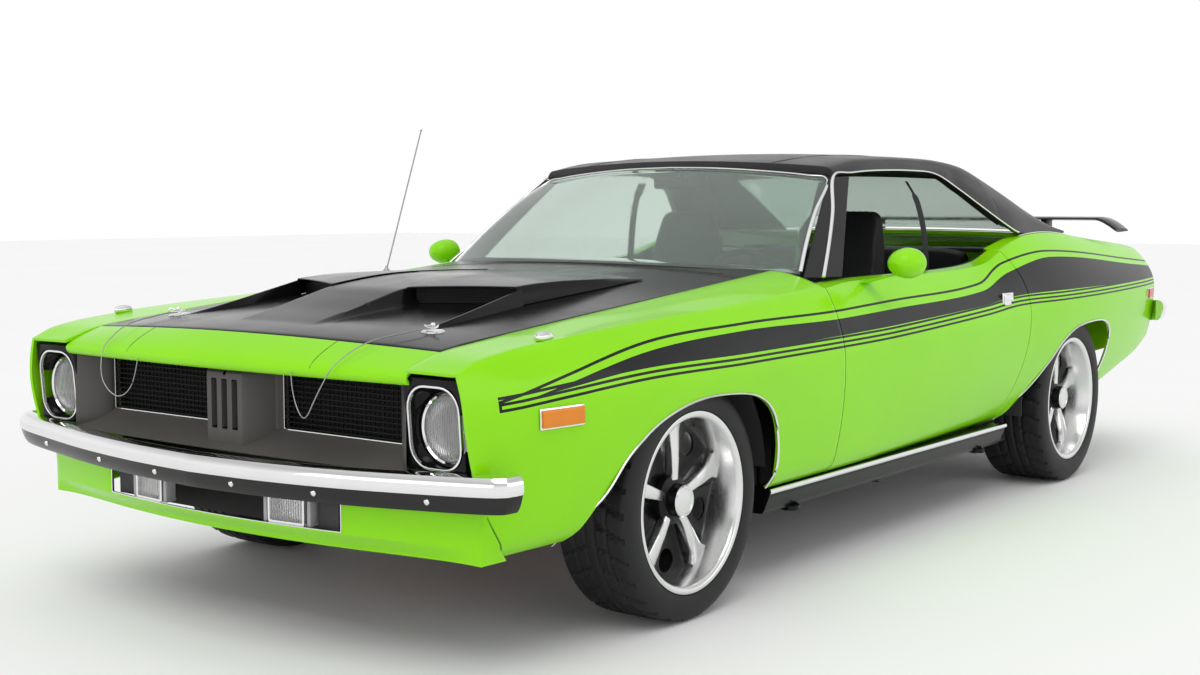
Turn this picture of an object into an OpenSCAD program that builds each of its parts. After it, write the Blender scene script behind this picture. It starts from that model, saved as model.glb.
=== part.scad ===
// Two-door muscle car with opening doors, hood and deck lid, steered front
// wheels and four turning wheels. Millimetres; +X is the car's left, +Y its
// rear, +Z up; the origin lies on the ground at the middle of the length.

/* [Overall] */
// Distance between the front and rear axles
wheelbase = 2743; // [2743:1:3300]
// Front axle to the front of the bumper
front_overhang = 976; // [950:1:1180]
// Rear axle to the back of the rear bumper
rear_overhang = 1176; // [1150:1:1420]
// Width over the door skins
body_w = 1864; // [1780:1:2240]
// Height of the roof above the ground
roof_h = 1314; // [1250:1:1580]

/* [Body] */
// Thickness of the wing and quarter panel skins
skin = 8; // [5:0.5:10]
// Gap all round doors, hood and deck lid
seam = 5; // [4:0.5:8]
// Width of the hood
hood_w = 1320; // [1240:1:1360]
// Width of the deck lid
deck_w = 1250; // [1150:1:1300]
// Length of the doors along their top
door_l = 1403; // [1300:1:1500]
// Depth of the doors from skin to inner trim
door_t = 180; // [150:1:200]
// Thickness of the glass
glass_t = 6; // [4:0.5:8]
// Thickness of the roof with its lining
roof_t = 28; // [15:1:35]

/* [Wheels] */
// Outer radius of the front tyres
front_tyre_r = 324; // [300:1:330]
// Outer radius of the rear tyres
rear_tyre_r = 336; // [300:1:345]
// Width of the front tyres
front_tyre_w = 235; // [190:1:245]
// Width of the rear tyres
rear_tyre_w = 275; // [220:1:285]
// Radius over the rim flanges
rim_r = 243; // [200:1:246]
// Radius of the wheel spindles
spindle_r = 19.7; // [15:0.1:24]
// Gap round each spindle in its hub
hub_gap = 0.3; // [0.2:0.1:0.6]

/* [Cabin] */
// Middle of each front seat from the centre line
seat_x = 365; // [330:1:380]
// Width of each front seat
seat_w = 420; // [340:1:426]
// Radius of the steering wheel to the middle of its rim
wheel_rim_r = 185; // [150:1:200]

/* [Fittings] */
// Distance between the number plate's two holes
plate_pitch = 178; // [120:1:200]
// Radius of the number plate's holes
plate_hole_r = 3.5; // [2.5:0.1:5]
// Outer radius of the tail pipes
pipe_r = 30; // [20:1:36]
// Radius of the jacking pads
pad_r = 30; // [20:1:40]
// Length of the aerial's mast
aerial_l = 530; // [300:1:700]
// Diameter of each hood pin lanyard
lanyard_d = 3; // [2:0.5:4]

/* [Hidden] */

hw = body_w / 2;
front_y = front_overhang - (front_overhang + wheelbase + rear_overhang) / 2;
rear_y = front_y + wheelbase;
front_z = front_tyre_r;
rear_z = rear_tyre_r;
nose_y = front_y - front_overhang;
tail_y = rear_y + rear_overhang;
roof_rise = roof_h - 1314;
rest_gap = 0.3;

lime = [0.45, 0.87, 0.03];
satin_black = [0.09, 0.09, 0.1];
argent = [0.3, 0.29, 0.28];
chrome_grey = [0.8, 0.8, 0.82];
rubber_black = [0.06, 0.06, 0.06];
steel_grey = [0.4, 0.41, 0.43];
trim_black = [0.07, 0.07, 0.08];

// ---------- curves and skins ----------

function mix(a, b, t) = a + (b - a) * t;
function clamp(t) = min(1, max(0, t));
function sq(t) = t * t;
function f(d) = front_y + d;
function r(d) = rear_y + d;
function span(k, s, i = 0) = i >= len(k) - 2 || s < k[i + 1][0] ? i : span(k, s, i + 1);
function slope(k, i) =
    let (a = max(0, i - 1), b = min(len(k) - 1, i + 1))
    (k[b][1] - k[a][1]) / (k[b][0] - k[a][0]);

// Smooth curve through [station, value] knots.
function curve(k, s) =
    let (i = span(k, s), h = k[i + 1][0] - k[i][0], t = clamp((s - k[i][0]) / h))
    k[i][1] * (2 * t * t * t - 3 * t * t + 1) + k[i + 1][1] * (3 * t * t - 2 * t * t * t)
    + h * slope(k, i) * (t * t * t - 2 * t * t + t) + h * slope(k, i + 1) * (t * t * t - t * t);

// Smooth path through points, with n pieces to each gap.
function bend(p0, p1, p2, p3, t) =
    0.5 * (2 * p1 + (p2 - p0) * t + (2 * p0 - 5 * p1 + 4 * p2 - p3) * t * t
    + (3 * p1 - p0 - 3 * p2 + p3) * t * t * t);
function path(p, n) = concat(
    [for (i = [0 : len(p) - 2], k = [0 : n - 1])
        bend(p[max(0, i - 1)], p[i], p[i + 1], p[min(len(p) - 1, i + 2)], k / n)],
    [p[len(p) - 1]]);

// Widest line of the body side, and how far out and how high it lies.
wide_x = [[f(-880), hw - 92], [f(-700), hw - 44], [f(-450), hw - 16], [f(-150), hw + 2], [f(100), hw + 4],
    [f(450), hw - 3], [f(771), hw - 4], [r(-1000), hw], [r(-520), hw + 1], [r(-180), hw + 14],
    [r(150), hw + 16], [r(500), hw + 2], [r(900), hw - 30], [r(1130), hw - 62]];
wide_z = [[f(-880), 610], [f(-150), 628], [f(771), 630], [r(-520), 690], [r(0), 735], [r(1130), 745]];
// Crest: the edge between the side and the top of fenders, doors and quarters.
crest_x = [[f(-880), hw - 112], [f(-560), hw - 88], [f(-150), hw - 82], [f(340), hw - 78], [f(755), hw - 76],
    [f(960), hw - 95], [r(-1040), hw - 107], [r(-750), hw - 108], [r(-560), hw - 112], [r(-350), hw - 122],
    [r(-70), hw - 132], [r(430), hw - 132], [r(1030), hw - 155]];
crest_z = [[f(-880), 735], [f(-788), 769], [f(-565), 797], [f(-155), 823], [f(338), 843], [f(756), 866],
    [f(960), 880], [r(-1040), 887], [r(-750), 903], [r(-565), 946], [r(-400), 985], [r(-250), 1003],
    [r(-70), 1008], [r(130), 1000], [r(430), 975], [r(730), 955], [r(1030), 930], [r(1130), 912]];
side_tuck = [[f(-880), 0.0005], [f(771), 0.00042], [r(-520), 0.0007], [r(1130), 0.0006]];

// Half width of the body side at a station and height.
function side_x(y, z) =
    let (x = curve(wide_x, y), zw = curve(wide_z, y), zc = curve(crest_z, y), xc = curve(crest_x, y))
    z >= zw ? x - (x - xc) * sq((z - zw) / (zc - zw))
    : x - curve(side_tuck, y) * sq(zw - z) - 0.0153 * sq(max(0, 340 - z));

// Top of the nose, hood and cowl at the hood's seam and on the centre line.
hood_x = hood_w / 2;
hood_seam_z = [[f(-880), 738], [f(-746), 775], [f(-453), 806], [f(66), 853], [f(765), 916]];
hood_mid_z = [[f(-900), 745], [f(-800), 795], [f(-400), 838], [f(66), 886], [f(580), 926], [f(765), 930]];
function front_top_z(x, y) =
    let (a = abs(x), zs = curve(hood_seam_z, y), zm = curve(hood_mid_z, y), xc = curve(crest_x, y),
        zc = curve(crest_z, y))
    a <= hood_x ? mix(zs, zm, 1 - sq(a / hood_x))
    : mix(zs, zc, pow((a - hood_x) / (xc - hood_x), 1.7));

// Top of the quarters and deck lid.
deck_x = deck_w / 2;
deck_mid_z = [[r(-400), 1010], [r(130), 1012], [r(430), 996], [r(730), 978], [r(1030), 955], [r(1130), 938]];
function rear_top_z(x, y) =
    let (a = abs(x), zm = curve(deck_mid_z, y), xc = curve(crest_x, y), zc = curve(crest_z, y))
    mix(zm, zc, sq(min(1, a / xc)));

// Closed wall between an outer and an inner grid of points. Rows run rearward
// and columns run so that row x column points outward.
module wall(outer, inner) {
    n = len(outer);
    m = len(outer[0]);
    function o(i, j) = i * m + j;
    function q(i, j) = (n + i) * m + j;
    function quad(a, b, c, d) = [[a, c, b], [a, d, c]];
    polyhedron(
        concat([for (row = outer) each row], [for (row = inner) each row]),
        concat(
            [for (i = [0 : n - 2], j = [0 : m - 2])
                each quad(o(i, j), o(i + 1, j), o(i + 1, j + 1), o(i, j + 1))],
            [for (i = [0 : n - 2], j = [0 : m - 2])
                each quad(q(i, j), q(i, j + 1), q(i + 1, j + 1), q(i + 1, j))],
            [for (i = [0 : n - 2]) each quad(o(i, 0), q(i, 0), q(i + 1, 0), o(i + 1, 0))],
            [for (i = [0 : n - 2]) each quad(o(i, m - 1), o(i + 1, m - 1), q(i + 1, m - 1), q(i, m - 1))],
            [for (j = [0 : m - 2]) each quad(o(0, j), o(0, j + 1), q(0, j + 1), q(0, j))],
            [for (j = [0 : m - 2]) each quad(o(n - 1, j), q(n - 1, j), q(n - 1, j + 1), o(n - 1, j + 1))]
        ),
        convexity = 6
    );
}

// Bar lofted through closed rings of points, each ring anticlockwise seen
// from the last ring's end.
module bar(rings) {
    n = len(rings);
    m = len(rings[0]);
    polyhedron(
        [for (ring = rings) each ring],
        concat(
            [for (i = [0 : n - 2], j = [0 : m - 1])
                let (a = i * m + j, b = i * m + (j + 1) % m)
                each [[a, a + m, b], [b, a + m, b + m]]],
            [[for (j = [0 : m - 1]) j]],
            [[for (j = [0 : m - 1]) n * m - 1 - j]]
        ),
        convexity = 6
    );
}

module both_sides() {
    children();
    mirror([1, 0, 0]) children();
}

// Box from two opposite corners.
module block(a, b) {
    translate(a) cube(b - a);
}

// Side profile drawn in (y, z), as thick as w, with its middle at x.
module profile_x(x, w, points) {
    translate([x - w / 2, 0, 0]) rotate([90, 0, 90]) linear_extrude(w) polygon(points);
}

// Front outline drawn in (x, z), from y forward to y + t.
module outline_y(y, t) {
    translate([0, y + t, 0]) rotate([90, 0, 0]) linear_extrude(t) children();
}

module rod_x(x0, x1, y, z, radius) {
    translate([x0, y, z]) rotate([0, 90, 0]) cylinder(h = x1 - x0, r = radius, $fn = 48);
}

module rod_y(x, y0, y1, z, radius) {
    translate([x, y0, z]) rotate([-90, 0, 0]) cylinder(h = y1 - y0, r = radius, $fn = 48);
}

// ---------- shared stations ----------

door_front_y = f(771.5);
door_rear_y = door_front_y + door_l;
// Rear seam of the door: [height, distance behind the top of the seam].
door_seam = [[290, -66], [450, 8], [600, 42], [700, 50], [800, 48], [880, 32], [960, 0]];
function door_seam_y(z) = door_rear_y + curve(door_seam, z);
sill_top = 300;
door_inner_x = hw - door_t;
hood_front_y = f(-746);
hood_front_bow = 55;
hood_rear_y = f(580);
deck_front_y = r(290);
deck_rear_y = r(1110);
tail_plane_y = tail_y - 62;
windshield_y = f(885);
function glass_base_y(x) = windshield_y - 60 - 190 * (1 - sq(x / (hw - 200)));

front_arch = [[-520, 285], [-425, 395], [-335, 497], [-215, 570], [-60, 608], [110, 609], [245, 590],
    [335, 541], [385, 455], [406, 360], [412, sill_top]];
rear_arch = [[-560, sill_top], [-420, 404], [-285, 500], [-175, 585], [-40, 632], [130, 645], [275, 637],
    [352, 600], [388, 540], [402, 460], [408, 345]];

kingpin_x = hw - 227;
front_wheel_x = hw - 35;
rear_wheel_x = hw - 20;

// ---------- outer panels ----------

function skin_in(p, side, top) = [p[0] - side * skin, p[1], p[2] - top * skin];

fender_low = concat(
    [[f(-868), 690], [f(-862), 600], [f(-835), 490], [f(-789), 401], [f(-704), 287], [f(-620), 284]],
    [for (p = path(front_arch, 2)) [f(p[0]), p[1]]],
    [[f(560), sill_top], [door_front_y - seam, sill_top]]);
function fender_top_y(y) = mix(f(-868), door_front_y - seam, (y - f(-868)) / (door_front_y - seam - f(-868)));
fender_grid = [for (p = fender_low)
    let (yt = fender_top_y(p[0]), zt = curve(crest_z, yt), xt = curve(crest_x, yt))
    concat(
        [for (v = [0, 0.2, 0.4, 0.6, 0.78, 0.9])
            let (y = mix(p[0], yt, v), z = mix(p[1], zt, v))
            [side_x(y, z), y, z]],
        [for (w = [0, 0.35, 0.7, 1])
            let (x = mix(xt, hood_x + seam / 2, w))
            [x, yt, front_top_z(x, yt)]]
    )];

module front_fenders() {
    color(lime)
    both_sides()
    wall(fender_grid, [for (row = fender_grid)
        [for (j = [0 : 9]) skin_in(row[j], j < 7 ? 1 : 0, j > 5 ? 1 : 0)]]);
}

// Shares of the way up the side at which doors and quarters are shaped.
side_steps = [0, 0.14, 0.32, 0.5, 0.66, 0.8, 0.91];
door_grid = [for (u = [0, 0.2, 0.4, 0.6, 0.8, 0.92, 1])
    let (zt = curve(crest_z, mix(door_front_y, door_rear_y, u)))
    [for (v = concat(side_steps, [1]))
        let (z = mix(sill_top, zt, v), y = mix(door_front_y, door_seam_y(z), u))
        [side_x(y, z), y, z]]];

module door() {
    taper = 45;
    n = len(door_grid) - 1;
    outer = [for (row = door_grid) concat(row, [[door_inner_x + 4, row[7][1], row[7][2] + 4]])];
    inner = [for (i = [0 : n])
        let (row = door_grid[i], back = i == n ? taper : 0)
        concat(
            [for (j = [0 : 7])
                [door_inner_x, row[j][1] - back, j < 7 ? row[j][2] : row[j][2] - 30]],
            [[door_inner_x, row[7][1] - back, row[7][2] - 8]]
        )];
    wall(outer, inner);
}

mirror_y = f(1050);
module door_mirror() {
    head_x = hw + 52;
    head_z = 935;
    translate([head_x, mirror_y, head_z]) rotate([0, 90, 0])
    rotate_extrude($fn = 40)
    polygon([for (a = [-90 : 15 : 90]) [50 * cos(a), 74 * sin(a)]]);
    hull() {
        translate([hw - 108, mirror_y - 34, 866]) cube([30, 68, 6]);
        translate([head_x - 20, mirror_y - 14, head_z - 44]) cube([24, 28, 6]);
    }
}

module door_left() {
    color(lime) {
        door();
        door_mirror();
    }
}

module door_right() {
    color(lime)
    mirror([1, 0, 0]) {
        door();
        door_mirror();
    }
}

quarter_low = concat(
    [[door_seam_y(sill_top) + seam, sill_top]],
    [for (p = path(rear_arch, 2)) [r(p[0]), p[1]]],
    [[r(500), 360], [r(720), 415], [r(930), 460], [tail_plane_y, 520]]);
quarter_top_inner = [[door_rear_y, door_inner_x + 4], [r(-300), hw - 170], [r(20), hw - 200],
    [r(230), deck_x + seam], [r(300), deck_x + seam], [r(1130), deck_x + seam]];
function quarter_inner_x(y) = max(deck_x + seam, curve(quarter_top_inner, y));
quarter_start = quarter_low[0][0];
quarter_run = tail_plane_y - quarter_start;
// How far the door's seam stands behind a straight line, a share v of the way up.
function quarter_lean(v) =
    door_seam_y(mix(sill_top, curve(crest_z, door_rear_y + seam), v)) - mix(door_seam_y(sill_top), door_rear_y, v);
quarter_grid = [for (p = quarter_low)
    let (u = clamp((p[0] - quarter_start) / quarter_run), yt = mix(door_rear_y + seam, tail_plane_y, u),
        zt = curve(crest_z, yt), xt = curve(crest_x, yt), xi = quarter_inner_x(yt))
    concat(
        [for (v = side_steps)
            let (z = mix(p[1], zt, v), y = mix(p[0], yt, v) + quarter_lean(v) * sq(max(0, 1 - 4 * u)))
            [side_x(y, z), y, z]],
        [for (w = [0, 0.4, 0.75, 1])
            let (x = mix(xt, xi, w))
            [x, yt, rear_top_z(x, yt)]]
    )];

module quarter_panels() {
    color(lime) {
        both_sides()
        wall(quarter_grid, [for (row = quarter_grid)
            [for (j = [0 : 10]) skin_in(row[j], j < 8 ? 1 : 0, j > 6 ? 1 : 0)]]);
        // Filler panel between the rear window and the deck lid.
        filler = [for (y = [r(225), deck_front_y - seam])
            [for (k = [0 : 8])
                let (x = mix(1, -1, k / 8) * (quarter_inner_x(y) - rest_gap))
                [x, y, rear_top_z(x, y)]]];
        wall(filler, [for (row = filler) [for (p = row) [p[0], p[1], p[2] - skin]]]);
    }
}

hood_cols = [for (k = [0 : 12]) mix(1, -1, k / 12)];
function hood_front(x) = hood_front_y - hood_front_bow * (1 - sq(x / hood_x));
hood_t = 22;
hood_grid = [for (u = [0 : 0.125 : 1])
    [for (c = hood_cols)
        let (x = c * (hood_x - seam / 2), y = mix(hood_front(x), hood_rear_y, u))
        [x, y, front_top_z(x, y)]]];

// One raised air scoop, open to the front.
scoop_w = 330;
scoop_front_y = f(-190);
scoop_rear_y = f(520);
scoop_x = 305;
module scoop() {
    lift = [[0, 62], [0.15, 66], [0.5, 44], [1, 4]];
    half = [[0, scoop_w / 2], [0.5, scoop_w / 2 - 20], [1, 60]];
    grid = [for (u = [0 : 0.125 : 1])
        [for (k = [0 : 8])
            let (s = 1 - k / 4, y = mix(scoop_front_y, scoop_rear_y, u), x = scoop_x + s * curve(half, u))
            [x, y, front_top_z(x, y) - 4 + (curve(lift, u) + 4) * (1 - pow(abs(s), 4))]]];
    wall(grid, [for (row = grid) [for (p = row) [p[0], p[1], front_top_z(p[0], p[1]) - 8]]]);
}

module hood() {
    color(satin_black) {
        wall(hood_grid, [for (row = hood_grid) [for (p = row) [p[0], p[1], p[2] - hood_t]]]);
        both_sides() scoop();
    }
}

pin_x = 499;
pin_y = f(-600);
module hood_pins() {
    rise = atan((front_top_z(pin_x, pin_y + 20) - front_top_z(pin_x, pin_y - 20)) / 40);
    fall = atan((front_top_z(pin_x - 20, pin_y) - front_top_z(pin_x + 20, pin_y)) / 40);
    color(chrome_grey)
    both_sides()
    translate([pin_x, pin_y, front_top_z(pin_x, pin_y) + 0.6]) rotate([rise, fall, 0]) {
        cylinder(h = 4, r = 31, $fn = 48);
        cylinder(h = 22, r = 6, $fn = 32);
    }
}

panel_x = hood_x + seam / 2 - rest_gap;
cowl_grid = [for (v = [0, 0.5, 1])
    [for (k = [0 : 10])
        let (x = (1 - k / 5) * panel_x, y = mix(hood_rear_y + seam, glass_base_y(x) - 2, v))
        [x, y, front_top_z(x, y)]]];

module cowl_panel() {
    color(satin_black)
    wall(cowl_grid, [for (row = cowl_grid) [for (p = row) [p[0], p[1], p[2] - 12]]]);
}

header_grid = [for (v = [0, 0.4, 0.75, 1])
    [for (k = [0 : 10])
        let (x = (1 - k / 5) * panel_x, back = hood_front(x) - seam,
            y = mix(f(-868) - 30 * (1 - sq(x / hood_x)), back, v))
        [x, y, mix(722, front_top_z(x, back), pow(v, 0.7))]]];

module header_panel() {
    color(lime)
    wall(header_grid, [for (row = header_grid) [for (p = row) [p[0], p[1], p[2] - 10]]]);
}

// ---------- nose ----------

mouth_y = f(-775);
module grille() {
    color(argent) {
        difference() {
            block([-hood_x + 25, mouth_y, 500], [hood_x - 25, mouth_y + 10, 712]);
            both_sides() block([140, mouth_y - 1, 548], [565, mouth_y + 11, 692]);
        }
        // Centre divider with its louvre slots.
        difference() {
            translate([0, 0, 500]) linear_extrude(211)
            polygon([[-120, mouth_y], [-70, mouth_y - 78], [70, mouth_y - 78], [120, mouth_y]]);
            for (x = [-40 : 40 : 40]) block([x - 11, mouth_y - 90, 545], [x + 11, mouth_y - 40, 675]);
        }
        // Lower shelf.
        block([-hood_x + 25, mouth_y - 85, 492], [hood_x - 25, mouth_y + 10, 500]);
    }
    color(trim_black)
    both_sides()
    for (z = [560 : 22 : 680]) block([140.3, mouth_y + 2, z], [564.7, mouth_y + 8, z + 5]);
}

lamp_x = 746;
lamp_z = 605;
lamp_r = 89;
lamp_y = f(-800);
module headlights() {
    bucket_in = hood_x - 24.7;
    bucket_out = hw - 118;
    both_sides() {
        color(trim_black)
        difference() {
            outline_y(lamp_y - 30, 60)
            hull() {
                translate([bucket_in, 500.3]) square([20, 205]);
                translate([bucket_out - 45, 552]) circle(r = 45, $fn = 48);
                translate([bucket_out - 45, 655]) circle(r = 45, $fn = 48);
            }
            rod_y(lamp_x - 8, lamp_y - 31, lamp_y + 31, lamp_z - 2, lamp_r + rest_gap);
        }
        color(chrome_grey)
        translate([lamp_x - 8, lamp_y + 20, lamp_z - 2]) rotate([90, 0, 0])
        rotate_extrude($fn = 64)
        polygon([[0, 0], [lamp_r, 0], [lamp_r, 34], [0.8 * lamp_r, 44], [0.4 * lamp_r, 51], [0, 53]]);
    }
}

// Plan lines of the bumpers: [half width, distance from the tip].
front_plan = path([[0, 0], [250, 14], [500, 42], [720, 80], [850, 104], [920, 124], [944, 146], [948, 190]], 2);
rear_plan = path([[0, 0], [250, 2], [500, 6], [720, 12], [850, 20], [905, 34], [932, 58], [938, 130]], 2);
bumper_t = 34;
bumper_half_h = 46;
function bumper_ring(x, y, nx, ny, z, half_h, t) =
    [for (p = [[0, -1], [0.7, -0.8], [1, -0.2], [1, 0.4], [0.6, 0.95], [0, 1]])
        [x + nx * p[0] * t, y + ny * p[0] * t, z + p[1] * half_h]];

module bumper(pts, sign, tip_y, z_mid, z_tip, t) {
    side = [for (i = [0 : len(pts) - 1])
        let (a = pts[max(0, i - 1)], b = pts[min(len(pts) - 1, i + 1)], d = b - a, n = norm(d))
        [pts[i][0] * hw / 932, pts[i][1], d[1] / n, -d[0] / n]];
    all = concat([for (i = [len(side) - 1 : -1 : 1]) [-side[i][0], side[i][1], -side[i][2], side[i][3]]], side);
    rings = [for (s = all)
        let (z = mix(z_mid, z_tip, sq(s[0] / hw)), tt = t * (1 - 0.45 * sq(s[0] / hw)),
            y = tip_y - sign * (s[1] + t))
        bumper_ring(s[0], y, s[2], -sign * s[3], z, bumper_half_h * (1 - 0.15 * sq(sq(s[0] / hw))), tt)];
    bar(sign > 0 ? rings : [for (i = [len(rings) - 1 : -1 : 0]) rings[i]]);
}

module front_bumper() {
    color(chrome_grey) bumper(front_plan, -1, nose_y, 452, 470, bumper_t);
}

module rear_bumper() {
    color(chrome_grey) {
        bumper(rear_plan, 1, tail_y, 600, 640, bumper_t);
        both_sides() block([380, tail_plane_y + rest_gap, 590], [440, tail_plane_y + 36, 625]);
    }
}

valance_bow = 120;
function valance_y(x) = f(-790) - valance_bow * (1 - sq(x / (hw - 85)));
function valance_rows(x0, x1, z0, z1, n) = [for (v = [0, 1])
    [for (k = [0 : n])
        let (x = mix(x0, x1, k / n))
        [x, valance_y(x) + (mix(z0, z1, v) < 330 ? 40 : 0), mix(z0, z1, v)]]];
module valance_strip(x0, x1, z0, z1, n) {
    rows = valance_rows(x0, x1, z0, z1, n);
    wall(rows, [for (row = rows) [for (p = row) [p[0], p[1] + 12, p[2]]]]);
}

module front_valance() {
    end_x = hw - 106;
    slot_x = 450;
    color(lime) {
        valance_strip(end_x, -end_x, 285, 335, 14);
        valance_strip(end_x, -end_x, 440, 480, 14);
        both_sides() valance_strip(end_x, slot_x, 334, 441, 4);
    }
    // Lamp housings.
    color(argent)
    both_sides() block([210, valance_y(210) + 4, 335.3], [330, valance_y(210) + 54, 420]);
}

module marker(y0, y1, z0, z1, gap) {
    grid = [for (y = [y0, (y0 + y1) / 2, y1]) [for (z = [z0, z1]) [side_x(y, z), y, z]]];
    wall([for (row = grid) [for (p = row) [p[0] + 10, p[1], p[2]]]],
        [for (row = grid) [for (p = row) [p[0] + gap, p[1], p[2]]]]);
}

module side_markers() {
    color([0.95, 0.45, 0.05])
    both_sides() marker(f(-660), f(-520), 603, 640, -0.6);
    color([0.7, 0.08, 0.06])
    both_sides() marker(r(950), r(1060), 700, 740, rest_gap);
}

// ---------- roof and glass ----------

roof_edge_x = [[f(1220), 618], [f(1450), 636], [f(1970), 645], [f(2080), 665], [r(-620), 675], [r(-520), 715],
    [r(-400), 762], [r(-315), 790], [r(-50), 785], [r(210), 776]];
roof_edge_z = [[f(1220), 1218], [f(1450), 1240], [f(1970), 1236], [r(-620), 1178], [r(-520), 1120],
    [r(-400), 1052], [r(-315), 1014], [r(-50), 1012], [r(210), 1003]];
ridge_x = [[f(1220), 570], [f(1450), 585], [f(1970), 600], [r(-520), 622], [r(-370), 640], [r(-243), 690],
    [r(-50), 728], [r(85), 748], [r(210), 756]];
ridge_z = [[f(1220), 1246], [f(1450), 1282], [f(1970), 1290], [r(-520), 1268], [r(-370), 1226], [r(-243), 1162],
    [r(-50), 1084], [r(85), 1040], [r(210), 1012]];
roof_mid_z = [[f(1180), 1264], [f(1370), 1292], [f(1620), 1311], [f(1870), 1314], [r(-620), 1303],
    [r(-400), 1262]];
glass_edge_x = [[r(-400), 480], [r(-100), 512], [r(210), 560]];
glass_edge_z = [[r(-400), 1252], [r(-250), 1196], [r(-50), 1116], [r(210), 1018]];
roof_rear_y = r(-400);
roof_front_y = f(1250);
roof_w = (hw - 932);
function lift(z) = z > 1020 ? z + roof_rise * (z - 1020) / 294 : z;

function roof_section(y, inner_x, inner_z, n) =
    let (ex = curve(roof_edge_x, y) + roof_w, ez = lift(curve(roof_edge_z, y)),
        gx = curve(ridge_x, y) + roof_w, gz = lift(curve(ridge_z, y)))
    concat(
        [[ex, ez], [mix(ex, gx, 0.45) + 8, mix(ez, gz, 0.5) + 5]],
        [for (k = [0 : n]) let (t = k / n)
            [mix(gx, inner_x, t), mix(gz, lift(inner_z), 1 - sq(1 - t))]]);

function header_y(x) = -75 * (1 - sq(x / 640));
roof_stations = [roof_front_y, f(1370), f(1560), f(1780), f(1970), r(-620), r(-520), roof_rear_y];
roof_grid = [for (i = [0 : 7])
    let (y = roof_stations[i], half = roof_section(y, 0, curve(roof_mid_z, y), 4), n = len(half),
        pull = i == 0 ? 1 : (i == 1 ? 0.5 : 0),
        row = concat(half, [for (k = [n - 2 : -1 : 0]) [-half[k][0], half[k][1]]]))
    [for (p = row) [p[0], y + pull * header_y(p[0]), p[1]]]];
sail_grid = [for (y = [roof_rear_y + 0.5, r(-315), r(-240), r(-160), r(-80), r(0), r(100), r(210)])
    [for (p = roof_section(y, curve(glass_edge_x, y), curve(glass_edge_z, y), 3)) [p[0], y, p[1]]]];

module roof() {
    color(satin_black) {
        wall(roof_grid, [for (row = roof_grid)
            [for (p = row) [p[0] * (1 - roof_t / 640), p[1], p[2] - (abs(p[0]) > 560 ? 0.4 : 1) * roof_t]]]);
        both_sides()
        wall(sail_grid, [for (row = sail_grid)
            [for (j = [0 : 5])
                let (x = row[j][0] - (j < 2 ? roof_t : (j < 4 ? 0.5 * roof_t : 0)), y = row[j][1])
                [x, y, max(row[j][2] - (j < 1 ? 0 : (j < 3 ? 0.5 * roof_t : 0.8 * roof_t)),
                    rear_top_z(x, y) + 0.6)]]]);
        // Windshield pillars.
        both_sides()
        bar([
            [[hw - 195, f(830), 893], [hw - 140, f(870), 893], [hw - 130, f(985), 893], [hw - 195, f(985), 893]],
            [[612 + roof_w, f(1238), lift(1212)], [632 + roof_w, f(1245), lift(1208)],
                [634 + roof_w, f(1330), lift(1214)], [612 + roof_w, f(1330), lift(1216)]]
        ]);
    }
}

windshield_grid = [for (v = [0, 0.25, 0.5, 0.75, 1])
    [for (k = [0 : 10])
        let (s = 1 - k / 5, x = s * mix(hw - 200, 604 + roof_w, v),
            y = mix(glass_base_y(x), f(1238) - 70 * (1 - s * s), v),
            z = mix(900 + 26 * (1 - s * s), lift(1212) + 40 * (1 - s * s), v))
        [x, y, z + 14 * sin(180 * v)]]];

module windshield() {
    color([0.55, 0.68, 0.62, 0.4])
    wall(windshield_grid, [for (row = windshield_grid) [for (p = row) [p[0], p[1] + glass_t, p[2] - glass_t]]]);
}

rear_glass_grid = [for (y = [roof_rear_y + 6, r(-250), r(-100), r(50), r(190)])
    [for (k = [0 : 8])
        let (s = 1 - k / 4)
        [s * (curve(glass_edge_x, y) + roof_w - 1), y,
            lift(curve(glass_edge_z, y)) + 16 * (1 - s * s) * (1 - sq((y - r(-105)) / 400)) - 6]]];

module rear_window() {
    color([0.5, 0.6, 0.56, 0.4])
    wall(rear_glass_grid, [for (row = rear_glass_grid) [for (p = row) [p[0], p[1], p[2] - glass_t]]]);
}

// ---------- structure ----------

floor_z = 205;
boot_x = 603.7;
shaft_z = 300;
module floor_pan() {
    color(steel_grey) {
        translate([0, r(-600), 0]) rotate([90, 0, 0])
        linear_extrude(r(-600) - f(640))
        polygon([[-hw + 132.3, floor_z], [-170, floor_z], [-115, 365], [115, 365], [170, floor_z],
            [hw - 132.3, floor_z], [hw - 132.3, floor_z + 12], [178, floor_z + 12], [123, 377], [-123, 377],
            [-178, floor_z + 12], [-hw + 132.3, floor_z + 12]]);
        both_sides() block([boot_x, r(-601), floor_z], [hw - 132.3, r(-430), floor_z + 12]);
        // Step, seat floor and boot floor.
        difference() {
            block([-boot_x, r(-600.5), floor_z], [boot_x, r(-588), 372]);
            rod_y(0, r(-602), r(-587), shaft_z, 50);
        }
        block([-boot_x, r(-589), 360], [boot_x, r(-270), 372]);
        block([-boot_x, r(-282), 360], [boot_x, r(-270), 432]);
        block([-boot_x, r(-271), 420], [boot_x, tail_plane_y - 14.3, 432]);
    }
}

sill_front_y = f(430);
sill_rear_y = r(-585);
module rocker_sills() {
    color(trim_black)
    both_sides() {
        translate([0, sill_rear_y, 0]) rotate([90, 0, 0])
        linear_extrude(sill_rear_y - sill_front_y)
        polygon([[hw - 132, sill_top - seam], [hw - 76, sill_top - seam], [hw - 66, sill_top - 12],
            [hw - 68, sill_top - 30], [hw - 84, 230], [hw - 92, 218], [hw - 132, 218]]);
        for (y = [sill_front_y + 180, sill_rear_y - 180])
            translate([hw - 131.7 + pad_r, y, floor_z]) cylinder(h = 14, r = pad_r, $fn = 48);
    }
}

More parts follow.
